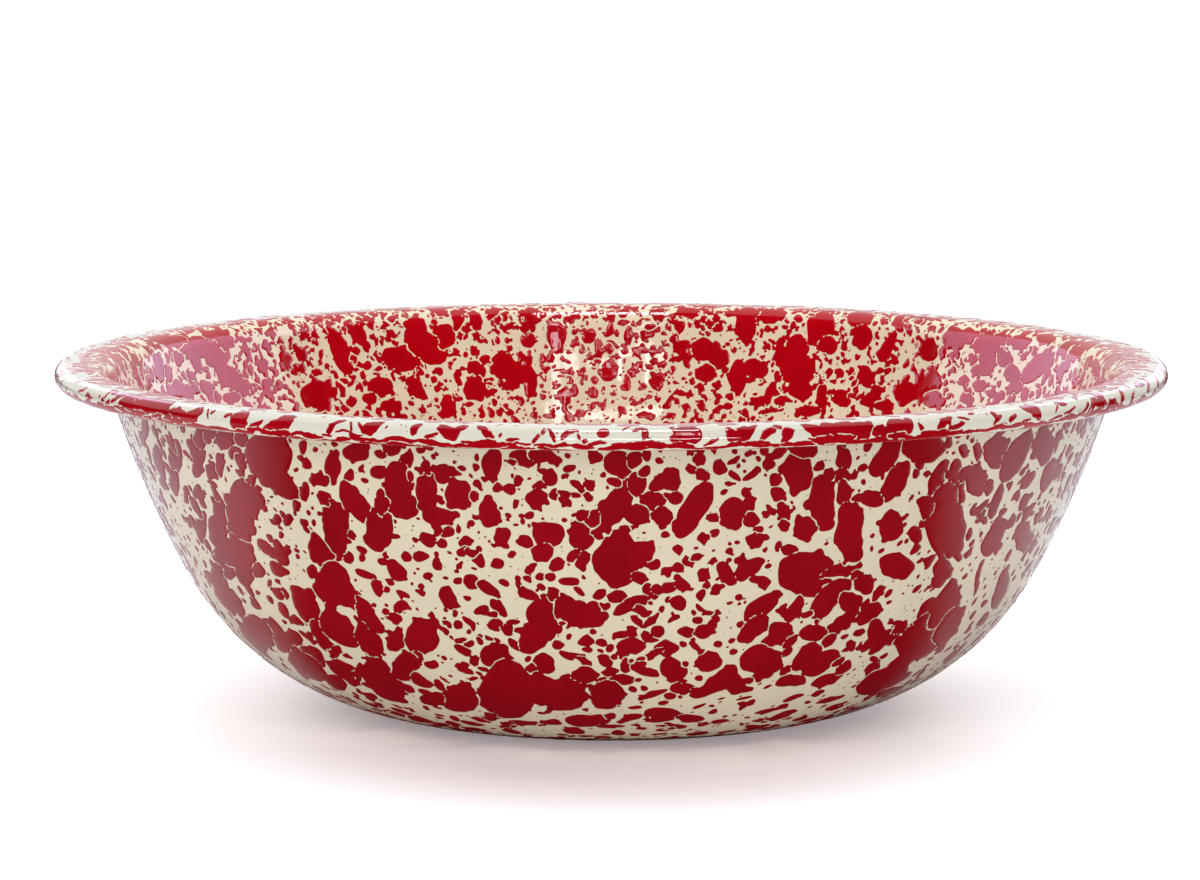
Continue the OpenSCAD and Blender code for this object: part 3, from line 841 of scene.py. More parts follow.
def glaze_sheet(field, shape, roundness, sizes, edge_width):
    """Closed sheets of glaze: corners, triangles, edge share, flat places and hidden backs.

    shape is the depth that bounds the sheet, roundness the depth that rounds its edge off."""
    line = field.line
    lip_ring = field.map.lip_ring
    rim_points, rim_edges = contour(line, shape)
    ring_points, _ = contour(line, np.minimum(shape, roundness) - edge_width)
    sparse = np.concatenate([
        inner_points(line, shape, WALL_SPACING, WALL_CLEAR * edge_width, 0, lip_ring),
        inner_points(line, shape, EDGE_SPACING, EDGE_CLEAR * edge_width, lip_ring, math.inf),
    ])
    peaks = drop_middles(line, shape, edge_width)
    top_flat, top_faces, top_source = fill(
        np.concatenate([rim_points, ring_points, peaks, sparse]), rim_edges, line, shape)
    low_flat, low_faces, low_source = fill(
        np.concatenate([rim_points, sparse]), rim_edges, line, shape)
    top_depth = sample(line, roundness, top_flat)
    rounded = np.clip(top_depth / edge_width, 0, 1)
    on_rim = (top_source >= 0) & (top_source < len(rim_points))
    sunk = on_rim & (top_depth < NATURAL_SHARE * edge_width)
    rounded[sunk] = 0
    rise = np.sqrt(1 - (1 - rounded) ** 2)
    top_at = field.map.lift(top_flat, np.where(sunk, OUTLINE_SUNK, rise * sizes.relief))
    low_at = field.map.lift(low_flat, np.full(len(low_flat), BACK_SUNK))
    # The back shares the outline's corners with the top, so that each sheet closes
    low_to_all = np.arange(len(low_flat)) + len(top_flat)
    rim_of_top = np.full(len(rim_points), -1)
    rim_of_top[top_source[on_rim]] = np.flatnonzero(on_rim)
    low_rim = (low_source >= 0) & (low_source < len(rim_points))
    low_to_all[low_rim] = rim_of_top[low_source[low_rim]]
    corners = np.concatenate([top_at, low_at])
    faces = np.concatenate([top_faces, low_to_all[low_faces][:, ::-1]])
    share = np.concatenate([rounded, np.ones(len(low_flat))])
    flat = np.concatenate([top_flat, low_flat])
    is_low = np.arange(len(faces)) >= len(top_faces)
    # Triangles with no corner inside would lie twice on the same three corners
    _, pair, times = np.unique(np.sort(faces, axis=1), axis=0, return_inverse=True,
                               return_counts=True)
    single = times[pair.ravel()] == 1
    faces = faces[single]
    used = np.unique(faces)
    renumber = np.full(len(corners), -1)
    renumber[used] = np.arange(len(used))
    return corners[used], renumber[faces], share[used], flat[used], is_low[single]


# Meshes

# Steps round the turned cream coats, and every how many rows their hidden back takes
COAT_TURNS = 288
BACK_EVERY = 3

# Places in the unit square of the bake map: middle and size of what shows and what doesn't
SHOWN_MIDDLE = 0.5
SHOWN_SIZE = 2.04
HIDDEN_MIDDLE = 0.06
HIDDEN_SHARE = 0.08


def into_scene(name, data):
    """A new object in the scene."""
    thing = bpy.data.objects.new(name, data)
    bpy.context.scene.collection.objects.link(thing)
    return thing


def new_piece(name, corners, faces, material):
    """A smooth shaded mesh object in the scene."""
    mesh = bpy.data.meshes.new(name)
    mesh.from_pydata(corners.tolist(), [], faces)
    mesh.validate()
    mesh.shade_smooth()
    mesh.materials.append(material)
    return into_scene(name, mesh)


def card(name, corners, faces, material):
    """Flat cards or a floor in the scene, which aren't part of the bowl."""
    mesh = bpy.data.meshes.new(name)
    mesh.from_pydata([(x, y, 0) for x, y in corners], [], faces)
    mesh.materials.append(material)
    return into_scene(name, mesh)


def set_bake_map(piece, flat, is_low, reach):
    """Unwraps a piece by its flat map: faces seen fill the square, hidden backs a corner of it."""
    mesh = piece.data
    layer = mesh.uv_layers.new(name="OFBake")
    loops = np.zeros(len(mesh.loops), int)
    mesh.loops.foreach_get("vertex_index", loops)
    totals = np.zeros(len(mesh.polygons), int)
    mesh.polygons.foreach_get("loop_total", totals)
    hidden = np.repeat(is_low, totals)[:, None]
    place = flat[loops] / (SHOWN_SIZE * reach)
    spot = np.where(hidden, HIDDEN_MIDDLE + HIDDEN_SHARE * place, SHOWN_MIDDLE + place)
    layer.data.foreach_set("uv", spot.astype(np.float32).ravel())


def lathe(points, way):
    """Corners and faces of a closed section turned about the axis, in directions way.

    The section starts and ends on the axis."""
    turns = len(way)
    ring = points[1:-1]
    wall = np.concatenate([
        ring[:, None, 0:1] * way[None],
        np.broadcast_to(ring[:, None, 1:2], (len(ring), turns, 1)),
    ], 2).reshape(-1, 3)
    corners = np.concatenate([[[0, 0, points[0][1]], [0, 0, points[-1][1]]], wall])
    i = np.arange(turns)
    j = (i + 1) % turns
    row = 2
    faces = [[0, row + a, row + b] for a, b in zip(j.tolist(), i.tolist())]
    for _ in ring[1:]:
        over = row + turns
        faces += np.stack([row + i, row + j, over + j, over + i], 1).tolist()
        row = over
    faces += [[1, row + a, row + b] for a, b in zip(i.tolist(), j.tolist())]
    return corners, faces


def cream_shell(name, section, sizes, inside, material):
    """One cream coat as a closed thin shell."""
    front, way = section.face(inside)
    back_rows = np.arange(len(front))[::-BACK_EVERY]
    back = front[back_rows] - way[back_rows] * sizes.cover
    back[:, 0] = np.maximum(back[:, 0], 0)
    end = front[-1] - way[-1] * sizes.cover
    foot = [0, front[0][1] - way[0][1] * sizes.cover]
    wheel = directions(np.arange(COAT_TURNS) * TURN / COAT_TURNS)
    corners, faces = lathe(np.concatenate([front, [end], back[1:], [foot]]), wheel)
    piece = new_piece(name, corners, faces, material)
    glaze_map = GlazeMap(section, inside)
    step = np.linalg.norm(np.diff(front, axis=0), axis=1)
    front_ring = np.interp(np.concatenate([[0], np.cumsum(step)]), glaze_map.run, glaze_map.ring)
    rings = np.concatenate([front_ring[1:], [front_ring[-1]], front_ring[back_rows][1:]])
    flat = (rings[:, None, None] * wheel[None]).reshape(-1, 2)
    is_low = np.arange(len(faces)) >= COAT_TURNS * (len(front) - 1)
    set_bake_map(piece, np.concatenate([[[0, 0], [0, 0]], flat]), is_low, front_ring[-1])
    return piece


def islands(count, faces):
    """Number of the connected island of each corner."""
    label = np.arange(count)
    a = faces.ravel()
    b = np.roll(faces, 1, axis=1).ravel()
    while True:
        low = np.minimum(label[a], label[b])
        lower = label.copy()
        np.minimum.at(lower, a, low)
        np.minimum.at(lower, b, low)
        lower = lower[lower]
        if np.array_equal(lower, label):
            return label
        label = lower


def glaze_pieces(name, field, shape, roundness, sizes, edge_width, material, reach):
    """Makes the glaze of one face from its field, in quarters, so that no mesh grows too large."""
    corners, faces, share, flat, is_low = glaze_sheet(field, shape, roundness, sizes, edge_width)
    label = islands(len(corners), faces)
    on_left, in_front = ((np.bincount(label, side, len(corners)) < 0)[label] for side in flat.T)
    for side, wanted in (("front_left", in_front & on_left), ("front_right", in_front & ~on_left),
                         ("back_left", ~in_front & on_left), ("back_right", ~in_front & ~on_left)):
        renumber = np.cumsum(wanted) - 1
        own = wanted[faces[:, 0]]
        piece = new_piece(f"{name}_{side}", corners[wanted], renumber[faces[own]].tolist(),
                          material)
        attribute = piece.data.attributes.new("edge_share", "FLOAT", "POINT")
        attribute.data.foreach_set("value", share[wanted].astype(np.float32))
        set_bake_map(piece, flat[wanted], is_low[own], reach)
        yield piece


def place_piece(piece, slot, *nodes):
    """Hangs a piece on the bowl in place of its CAD nodes."""
    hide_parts(*nodes)
    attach(piece, "root")


# Materials

GLASS_IOR = 1.5
RIPPLE_HEIGHT = 0.002


def give(tree, socket, value):
    """Gives a socket a plain value, a colour, or a link from another socket."""
    if isinstance(value, bpy.types.NodeSocket):
        tree.links.new(value, socket)
    elif socket.type == "RGBA":
        socket.default_value = (*value, 1)
    else:
        socket.default_value = value


def add(tree, kind, *values, **named):
    """A new node, with values for its first inputs and for inputs by their names."""
    node = tree.nodes.new("ShaderNode" + kind)
    for socket, value in zip(node.inputs, values):
        give(tree, socket, value)
    for name, value in named.items():
        give(tree, node.inputs[name.replace("_", " ")], value)
    return node


def new_material(name):
    """An empty node material with its Principled shader."""
    material = bpy.data.materials.new(name)
    material.use_nodes = True
    shader = material.node_tree.nodes["Principled BSDF"]
    return material, material.node_tree, shader


def emptied(owner):
    """Node tree of a material or world with no nodes in it yet."""
    owner.use_nodes = True
    owner.node_tree.nodes.clear()
    return owner.node_tree


def on_object(tree):
    """Place on the object, in metres."""
    return add(tree, "TexCoord").outputs["Object"]


def noise(tree, scale, detail=2.0):
    """Noise in metres on the object."""
    return add(tree, "TexNoise", Vector=on_object(tree), Scale=scale, Detail=detail).outputs["Fac"]


def ramp(tree, source, *stops):
    """Colour ramp with stops of (place, colour)."""
    node = add(tree, "ValToRGB", source)
    elements = node.color_ramp.elements
    for k, (place, colour) in enumerate(stops):
        element = elements[k] if k < 2 else elements.new(place)
        element.position = place
        element.color = (*colour, 1)
    return node.outputs["Color"]


def mixed(tree, share, first, second):
    """Mix of two colours by a share: sockets or plain values."""
    node = tree.nodes.new("ShaderNodeMix")
    node.data_type = "RGBA"
    for socket, value in ((node.inputs[0], share), (node.inputs[6], first),
                          (node.inputs[7], second)):
        give(tree, socket, value)
    return node.outputs[2]


def mapped(tree, source, low, high):
    """A value run smoothly from 0 to 1 between two limits."""
    node = add(tree, "MapRange", Value=source, From_Min=low, From_Max=high)
    node.interpolation_type = "SMOOTHSTEP"
    return node.outputs["Result"]


def maths(tree, operation, first, second):
    """Result of a sum of two values."""
    node = add(tree, "Math", first, second)
    node.operation = operation
    return node.outputs["Value"]


def vectors(tree, operation, *values):
    """Result of a sum of vectors."""
    node = add(tree, "VectorMath", *values)
    node.operation = operation
    return node.outputs["Vector"]


def distance(tree, vector):
    """Length of a vector."""
    node = add(tree, "VectorMath", vector)
    node.operation = "LENGTH"
    return node.outputs["Value"]


def mix_shaders(tree, share, first, second):
    """Mix of two shaders by a share."""
    return add(tree, "MixShader", share, first, second).outputs["Shader"]


def bumped(tree, shader, height, strength, distance):
    """Bump from a height socket."""
    node = add(tree, "Bump", Strength=strength, Distance=distance, Height=height)
    tree.links.new(node.outputs["Normal"], shader.inputs["Normal"])


def roughened(tree, shader, scale, low, low_rough, high, high_rough):
    """Roughness in clouds between two values."""
    sheen = ramp(tree, noise(tree, scale), (low, (low_rough,) * 3), (high, (high_rough,) * 3))
    tree.links.new(sheen, shader.inputs["Roughness"])


def tinted(colour, by):
    """A colour made lighter or darker."""
    return tuple(min(1.0, max(0.0, c * by)) for c in colour)


def cream_enamel(name, colour, rim_colour, rim_start):
    """Glossy cream cover coat: faint clouds, a few tan specks, and a cooler cream on the rim."""
    material, tree, shader = new_material(name)
    base = ramp(tree, noise(tree, 24, 3), (0.3, tinted(colour, 0.955)), (0.7, tinted(colour, 1.03)))
    place = on_object(tree)
    cells = add(tree, "TexVoronoi", Vector=place, Scale=95)
    speck = ramp(tree, cells.outputs["Distance"], (0.03, (1, 1, 1)), (0.055, (0, 0, 0)))
    tan = (colour[0] * 0.82, colour[1] * 0.74, colour[2] * 0.62)
    level = vectors(tree, "MULTIPLY", place, (1, 1, 0))
    on_rim = mapped(tree, distance(tree, level), rim_start - 2 * MM, rim_start + 2 * MM)
    paint = mixed(tree, on_rim, mixed(tree, speck, base, tan), rim_colour)
    tree.links.new(paint, shader.inputs["Base Color"])
    roughened(tree, shader, 60, 0.3, 0.03, 0.7, 0.06)
    shader.inputs["IOR"].default_value = GLASS_IOR
    bumped(tree, shader, noise(tree, 150), 0.02, RIPPLE_HEIGHT)
    return material


def red_glaze(name, colour, edge_colour, edge_end):
    """Glossy red glaze: deep where it lies thick, browner and lighter at its thin edge."""
    material, tree, shader = new_material(name)
    edge = tree.nodes.new("ShaderNodeAttribute")
    edge.attribute_name = "edge_share"
    body = ramp(tree, noise(tree, 45, 3), (0.3, tinted(colour, 0.88)), (0.7, tinted(colour, 1.08)))
    thin = ramp(tree, edge.outputs["Fac"], (0.0, (1, 1, 1)), (edge_end, (0, 0, 0)))
    tree.links.new(mixed(tree, thin, body, edge_colour), shader.inputs["Base Color"])
    roughened(tree, shader, 70, 0.3, 0.02, 0.7, 0.05)
    shader.inputs["IOR"].default_value = GLASS_IOR
    bumped(tree, shader, noise(tree, 170), 0.025, RIPPLE_HEIGHT)
    return material


def ground_enamel(name):
    """Dark first coat, hidden under the cream."""
    material, tree, shader = new_material(name)
    colour = ramp(tree, noise(tree, 120, 3), (0.35, (0.018, 0.022, 0.045)),
                  (0.7, (0.035, 0.040, 0.075)))
    tree.links.new(colour, shader.inputs["Base Color"])
    shader.inputs["Roughness"].default_value = 0.25
    bumped(tree, shader, noise(tree, 400), 0.1, MM)
    return material


def pressed_steel(name):
    """Pickled steel sheet."""
    material, tree, shader = new_material(name)
    colour = ramp(tree, noise(tree, 200, 4), (0.3, (0.33, 0.33, 0.34)), (0.7, (0.48, 0.48, 0.49)))
    tree.links.new(colour, shader.inputs["Base Color"])
    shader.inputs["Metallic"].default_value = 1.0
    roughened(tree, shader, 300, 0.3, 0.35, 0.7, 0.5)
    return material


# Throwing the glaze

# Where the photograph was read, as angles from straight ahead, and from how high outside
READ_OUTSIDE = math.radians(76)
READ_INSIDE = math.radians(57)
READ_FROM_HEIGHT = 13 * MM
# Share of the width of the rim that the far wall shows below the rim
SHOWN_BELOW_RIM = 0.12

# Outside: where the glaze starts beyond the base, how many clusters are tried, how many of them
# all over the wall before the rest go low on it, then how many small ones and dots
BASE_CLEAR = 4 * MM
OUTSIDE_CLUSTERS = 2900
OUTSIDE_ALL_OVER = 1500
OUTSIDE_FILL = 5400
FILL_SMALL_WITHIN = math.radians(40)
OUTSIDE_DOTS = 17000

# Inside: how many clusters are tried, how many of them in all sizes before the small ones, how
# far they go beyond the lip, and how many dots there are
INSIDE_CLUSTERS = 22000
INSIDE_LARGE = 3600
BEYOND_LIP = 4 * MM
INSIDE_DOTS = 11000

# Rolled edge: middle and spread of the angle of its low band, from its outermost line, then how
# many streaks are tried and how many dots, and how the glaze faces where it ends under the edge
BAND_ANGLE = (-36, 11)
STREAKS = 1000
EDGE_DOTS = 420
END_FACING = -0.98

# Angles from the front, in degrees, within which the streaks were read, and beyond which many
# are left out
STREAKS_READ = 48
STREAKS_SPARSE = 105

# How far a field reaches beyond its glaze, and how ragged the outlines are outside and inside
FIELD_MARGIN = 2 * MM
RAGGED_OUTSIDE = 0.12 * MM
RAGGED_INSIDE = 0.14 * MM

# Share of the rounded edge over which the red runs thin
THIN_OUTSIDE = 0.30
THIN_INSIDE = 0.75


class BOWL_OT_inner_layers(Operator):
    """Finish the steel sheet and the dark ground coats under the cream"""

    bl_idname = "enamel_bowl.inner_layers"
    bl_label = "Inner layers"

    def execute(self, context):
        ground = ground_enamel("ground_enamel")
        steel = pressed_steel("steel")
        for node, material in (("steel_shell", steel), ("ground_coat_inside", ground),
                               ("ground_coat_outside", ground)):
            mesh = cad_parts[node].data
            mesh.materials.clear()
            mesh.materials.append(material)
        return {"FINISHED"}


class BOWL_OT_cream_coats(Operator):
    """Build the two cream cover coats as fine smooth shells"""

    bl_idname = "enamel_bowl.cream_coats"
    bl_label = "Cream coats"

    def execute(self, context):
        sizes = context.scene.bowl_sizes
        colours = context.scene.bowl_colours
        section = Section(sizes)
        for inside, side, colour in ((True, "inside", colours.cream_inside),
                                     (False, "outside", colours.cream_outside)):
            material = cream_enamel(f"cream_enamel_{side}", tuple(colour),
                                    tuple(colours.cream_rim), section.lip[0])
            piece = cream_shell(f"cream_coat_{side}", section, sizes, inside, material)
            place_piece(piece, f"cream_enamel_{side}", f"cover_coat_{side}")
        return {"FINISHED"}


def hang_glaze(scene, name, field, shape, roundness, reach, slot, node, colour, thin):
    """Makes the glaze of one face and hangs it on the bowl in place of its CAD node."""
    material = red_glaze(slot, tuple(colour), tuple(scene.bowl_colours.red_edge), thin)
    for piece in glaze_pieces(name, field, shape, roundness, scene.bowl_sizes,
                              scene.bowl_splatter.edge, material, reach):
        place_piece(piece, slot, node)


class BOWL_OT_red_outside(Operator):
    """Throw the red glaze on the outside"""

    bl_idname = "enamel_bowl.red_outside"
    bl_label = "Red outside"

    def execute(self, context):
        scene = context.scene
        splatter = scene.bowl_splatter
        view = PhotoView(scene.bowl_sizes)
        section = Section(scene.bowl_sizes)
        glaze_map = GlazeMap(section, inside=False)
        wall = glaze_map.wall_rows
        reach = float(glaze_map.ring[glaze_map.bead_row])
        low_ring = section.base_r + BASE_CLEAR
        foot_ring = float(np.interp(READ_FROM_HEIGHT, glaze_map.at[wall, 1], glaze_map.ring[wall]))
        field = GlazeField(glaze_map, reach + FIELD_MARGIN, splatter, splatter.seed, RAGGED_OUTSIDE)

        def on_map(across, down):
            return glaze_map.flatten(view.hits(glaze_map, across, down, False))

        field.read_splashes(on_map, OUTSIDE_SPLASHES, splatter.growth, splatter.closeness)
        for k in range(OUTSIDE_CLUSTERS):
            top = reach if k < OUTSIDE_ALL_OVER else foot_ring
            ring, turn, middle = field.spot(low_ring, top)
            read = off_axis(turn, -QUARTER) < READ_OUTSIDE and ring > foot_ring
            size = field.size(ring, 1.3, 1.2 if read else 3.4 if ring < foot_ring else 6.2, 1.8)
            if field.depth[field.cell(middle)] < -(1.0 if read else 0.45) * size:
                field.cluster(middle, size, join=0.3, loose=0.0 if read else 0.3)
        for _ in range(OUTSIDE_FILL):
            ring, turn, middle = field.spot(foot_ring, reach)
            small = off_axis(turn, -QUARTER) <= FILL_SMALL_WITHIN
            size = field.size(ring, 0.6, 1.5 if small else 3.2, 1.6)
            depth = field.depth[field.cell(middle)]
            if depth < -0.1 * size and (depth > -0.9 * size or field.chance.uniform() < 0.3):
                field.cluster(middle, size, join=0.85, loose=0.0)
        field.dots(OUTSIDE_DOTS, low_ring, reach, 0.3 * MM, 1.6 * MM, clear=0.2 * MM)
        foot = field.ring - low_ring
        shape = np.minimum(np.minimum(field.depth, reach - field.ring), foot)
        hang_glaze(scene, "red_splatter_outside", field, shape, np.minimum(field.depth, foot),
                   reach, "red_glaze_outside", "splatter_outside",
                   scene.bowl_colours.red_outside, THIN_OUTSIDE)
        return {"FINISHED"}


class BOWL_OT_red_inside(Operator):
    """Throw the red glaze on the inside and drag it round the rim"""

    bl_idname = "enamel_bowl.red_inside"
    bl_label = "Red inside and rim"

    def execute(self, context):
        scene = context.scene
        sizes = scene.bowl_sizes
        splatter = scene.bowl_splatter
        colours = scene.bowl_colours
        view = PhotoView(sizes)
        section = Section(sizes)
        glaze_map = GlazeMap(section, inside=True)
        at, way = glaze_map.at, glaze_map.way
        lip_row = np.argmin(np.hypot(at[:, 0] - section.lip[0], at[:, 1] - sizes.height))
        last_row = np.flatnonzero((np.arange(len(at)) > glaze_map.bead_row)
                                  & (way[:, 0] < END_FACING))[0]
        cut, lip_ring, reach = (
            float(glaze_map.ring[row]) for row in (glaze_map.bead_row, lip_row, last_row))
        field = GlazeField(glaze_map, reach + FIELD_MARGIN, splatter, splatter.seed + 1,
                           RAGGED_INSIDE)

        def on_wall(across, down):
            return glaze_map.flatten(view.hits(glaze_map, across, down, True))

        def on_edge(across, down):
            return view.edge_hits(section, glaze_map, across, down)

        field.read_splashes(on_wall, INSIDE_SPLASHES, 0.95, 0.8)
        field.read_splashes(on_edge, RIM_STREAKS, 1.25, 0.9)
        for k in range(INSIDE_CLUSTERS):
            # Every third one falls in the far half, which the photograph shows
            ring, turn, middle = field.spot(0, lip_ring + BEYOND_LIP, TURN if k % 3 else math.pi)
            off = off_axis(turn, QUARTER)
            up = float(np.interp(ring, glaze_map.ring, at[:, 1]))
            read = (off < READ_INSIDE and ring < lip_ring
                    and up > sizes.height - SHOWN_BELOW_RIM * sizes.rim_width * math.cos(off))
            spread, clear = ((1.3, 0.12) if read else
                             (4.6, 0.45) if k < INSIDE_LARGE else (2.6, 0.3))
            size = field.size(ring, 0.6, spread, 1.6)
            if field.depth[field.cell(middle)] < -clear * size:
                field.cluster(middle, size, join=0.9, loose=0.1)
        field.dots(INSIDE_DOTS, 0, lip_ring, 0.4 * MM, 1.3 * MM)
        drag_round_rim(field, cut, lip_ring, reach)
        depth = field.depth
        for name, shape, slot, node, colour in (
                ("red_splatter_inside", cut - field.ring, "red_glaze_inside",
                 "splatter_inside", colours.red_inside),
                ("red_streaks_rim", np.minimum(field.ring - cut, reach - field.ring),
                 "red_glaze_rim", "splatter_rim", colours.red_rim)):
            hang_glaze(scene, name, field, np.minimum(shape, depth), depth, reach, slot, node,
                       colour, THIN_INSIDE)
        return {"FINISHED"}


def drag_round_rim(field, cut, lip_ring, reach):
    """Streaks dragged round the rolled edge, with a nearly closed band low on it."""
    chance = field.chance
    band = field.new_group()
    turn = 0.0
    while turn < TURN:
        ring = float(field.map.bead_ring(math.radians(chance.normal(*BAND_ANGLE))))
        shape = oval(MM * chance.uniform(3, 8), MM * chance.uniform(0.6, 1.9),
                     turn + QUARTER + chance.normal(0, 0.05))
        field.throw(ring * heading(turn), shape, band)
        turn += MM * chance.uniform(2, 7) / ring
    for _ in range(STREAKS):
        turn = chance.uniform(0, TURN)
        low = chance.uniform() < 0.3
        off = math.degrees(off_axis(turn, -QUARTER))
        if not low and (off < STREAKS_READ or off > STREAKS_SPARSE and chance.uniform() < 0.55):
            continue
        share = chance.uniform(0.5, 0.98) if low else chance.uniform(-0.6, 0.5)
        middle = (cut + (reach - cut) * share) * heading(turn)
        length = MM * (chance.uniform(4, 16) if low else chance.uniform(1.5, 8))
        width = MM * (chance.uniform(0.8, 2.0) if low else chance.uniform(0.7, 2.2))
        lean = chance.normal(0, 0.1) if low else chance.normal(0.5, 0.3)
        joins = chance.uniform() < 0.6
        group = field.owner[field.cell(middle)] if joins else field.new_group()
        field.throw(middle, oval(length, width, turn + QUARTER + lean), group)
    field.dots(EDGE_DOTS, lip_ring, reach, 0.4 * MM, 1.3 * MM)


# Studio

# Lamps: place, width and watts; they light the bowl and don't show in reflections
OVERHEAD_LAMP = ((0.0, 0.3, 1.6), 1.4, 10.5)
FRONT_LAMP = ((-0.5, -1.8, 0.8), 1.0, 6.0)
BOUNCE_LAMP = ((-0.05, -0.5, 0.004), 0.9, 0.72)
BOUNCE_TARGET = (-0.05, -0.5, 1)

# Cards that only reflections see: colour of the daylight, then places, sizes and strengths of
# the violet cards at the sides and of the long strip in front
DAYLIGHT = (0.97, 0.95, 1.0)
SIDE_CARDS = ((-0.25, 0.36, 0.29), (0.25, 0.36, 0.29))
SIDE_CARD_TARGET = (0, 0.36, 0.29)
SIDE_CARD_SIZE = (0.49, 0.34)
SIDE_CARD_COLOUR = (0.78, 0.7, 1.0)
SIDE_CARD_STRENGTH = 3.2
STRIP_PLACE = (0.28, -2.6, 0.25)
STRIP_TARGET = (0, 0, 0.11)
STRIP_SIZE = (1.7, 0.14)
STRIP_STRENGTH = 36.0

# Light from all round, and what mirrors in the glaze: dark in front, bright behind
EVEN_LIGHT = (0.72, 0.72, 0.74)
MIRROR_DARK = (0.01, 0.01, 0.012)
MIRROR_BRIGHT = (0.96, 0.97, 1.0)
WHITE = (1, 1, 1)

# Where a reflection turns from dark to bright: how far back it points, how far up, and how
# straight back
BEHIND = (-0.06, 0.04)
RAISED = (0.22, 0.34)
STRAIGHT_BACK = (0.6, 0.8)

# Floor: its paint, tinted mauve as painted red light bounced into the shade, the dark cloth and the
# shine that only mirror in the glaze, and the glow that brings it to white; the glow is weaker and
# mauve near the bowl, which paints shade there on top of the rendered shadow
FLOOR_HALF = 6.0
# The mauve in the paint is painted red light bounced from the bowl, seen where the floor is in
# shade
FLOOR_PAINT_BOUNCE_TINT = (0.86, 0.82, 0.84)
FLOOR_CLOTH = (0.04, 0.035, 0.035)
FLOOR_SHINE = (0.88, 0.9, 1.0)
GLOW_FAR = (0.60, 0.60, 0.60)
# Painted shade: the weaker, mauve glow near the bowl, in a patch stretched across and shifted
# forward
GLOW_NEAR_PAINTED_SHADE = (0.28, 0.24, 0.248)
PAINTED_SHADE_STRETCH = (1.4, 1, 0)
PAINTED_SHADE_SHIFT = (0, 0.03, 0)

# Where on the floor these run from nothing to full: cloth by its side, cloth by its distance,
# shine by its distance, and the weaker glow that paints shade near the bowl
CLOTH_IN_FRONT = (-0.22, -0.54)
CLOTH_FAR_OFF = (0.75, 0.95)
SHINE_AROUND = (0.17, 0.34)
PAINTED_SHADE_REACH = (0.20, 0.09)


def aim(thing, place, target, axis):
    """Puts a lamp or card at a place, with one of its axes towards a target."""
    thing.location = place
    thing.rotation_mode = "QUATERNION"
    thing.rotation_quaternion = (Vector(target) - Vector(place)).to_track_quat(axis, "Y")


def softbox(name, place, target, cards, strength, colour=DAYLIGHT):
    """Bright cards that only reflections see, each given by its four corners."""
    material = bpy.data.materials.new(name)
    tree = emptied(material)
    light = add(tree, "Emission", Color=colour, Strength=strength)
    add(tree, "OutputMaterial", Surface=light.outputs["Emission"])
    faces = np.arange(4 * len(cards)).reshape(-1, 4).tolist()
    box = card(name, [corner for four in cards for corner in four], faces, material)
    aim(box, place, target, "Z")
    box.visible_camera = False
    box.visible_diffuse = False
    box.visible_shadow = False


def window_cards(places, view, glaze_map, place, target):
    """Cards of the window: traced from where their reflections are seen on the far wall."""
    x, y, w, h = np.array(places, float).T
    sides = ((-1, 1), (1, 1), (1, -1), (-1, -1))
    across = np.concatenate([x + i * w / 2 for i, _ in sides])
    down = np.concatenate([y + j * h / 2 for _, j in sides])
    rays = view.rays(across, down)
    at = view.hits(glaze_map, across, down, True)
    rows = glaze_map.wall_rows
    way_r, way_z = (np.interp(at[:, 2], glaze_map.at[rows, 1], side)
                    for side in glaze_map.way[rows].T)
    r = np.hypot(at[:, 0], at[:, 1])
    way = np.stack([way_r * at[:, 0] / r, way_r * at[:, 1] / r, way_z], 1)
    back = rays - 2 * (rays * way).sum(1)[:, None] * way
    facing = (Vector(target) - Vector(place)).normalized()
    turn = np.array(facing.to_track_quat("Z", "Y").to_matrix())
    reach = ((np.array(place) - at) @ np.array(facing)) / (back @ np.array(facing))
    local = (at + back * reach[:, None] - np.array(place)) @ turn
    return local[:, :2].reshape(4, len(places), 2).transpose(1, 0, 2)


def plain_card(width, height):
    """Corners of one card in the middle of its box."""
    w, h = width / 2, height / 2
    return [((-w, -h), (w, -h), (w, h), (-w, h))]


def area_lamp(name, place, width, watts, target):
    """Soft round lamp that reflections don't see."""
    data = bpy.data.lights.new(name, "AREA")
    data.shape = "DISK"
    data.size = width
    data.energy = watts
    lamp = into_scene(name, data)
    aim(lamp, place, target, "-Z")
    lamp.visible_glossy = False


def studio_world():
    """White background, even light, and reflections that are dark from the front."""
    world = bpy.data.worlds.new("studio")
    bpy.context.scene.world = world
    tree = emptied(world)
    path = add(tree, "LightPath").outputs
    way = add(tree, "SeparateXYZ", add(tree, "TexCoord").outputs["Generated"]).outputs
    behind = mapped(tree, way["Y"], *BEHIND)
    raised = mapped(tree, way["Z"], *RAISED)
    straight = mapped(tree, way["Y"], *STRAIGHT_BACK)
    bright = maths(tree, "MAXIMUM", maths(tree, "MULTIPLY", behind, raised), straight)
    mirror = mixed(tree, bright, MIRROR_DARK, MIRROR_BRIGHT)
    even = mixed(tree, path["Is Glossy Ray"], EVEN_LIGHT, mirror)
    seen = mixed(tree, path["Is Camera Ray"], even, WHITE)
    background = add(tree, "Background", Color=seen)
    add(tree, "OutputWorld", Surface=background.outputs["Background"])


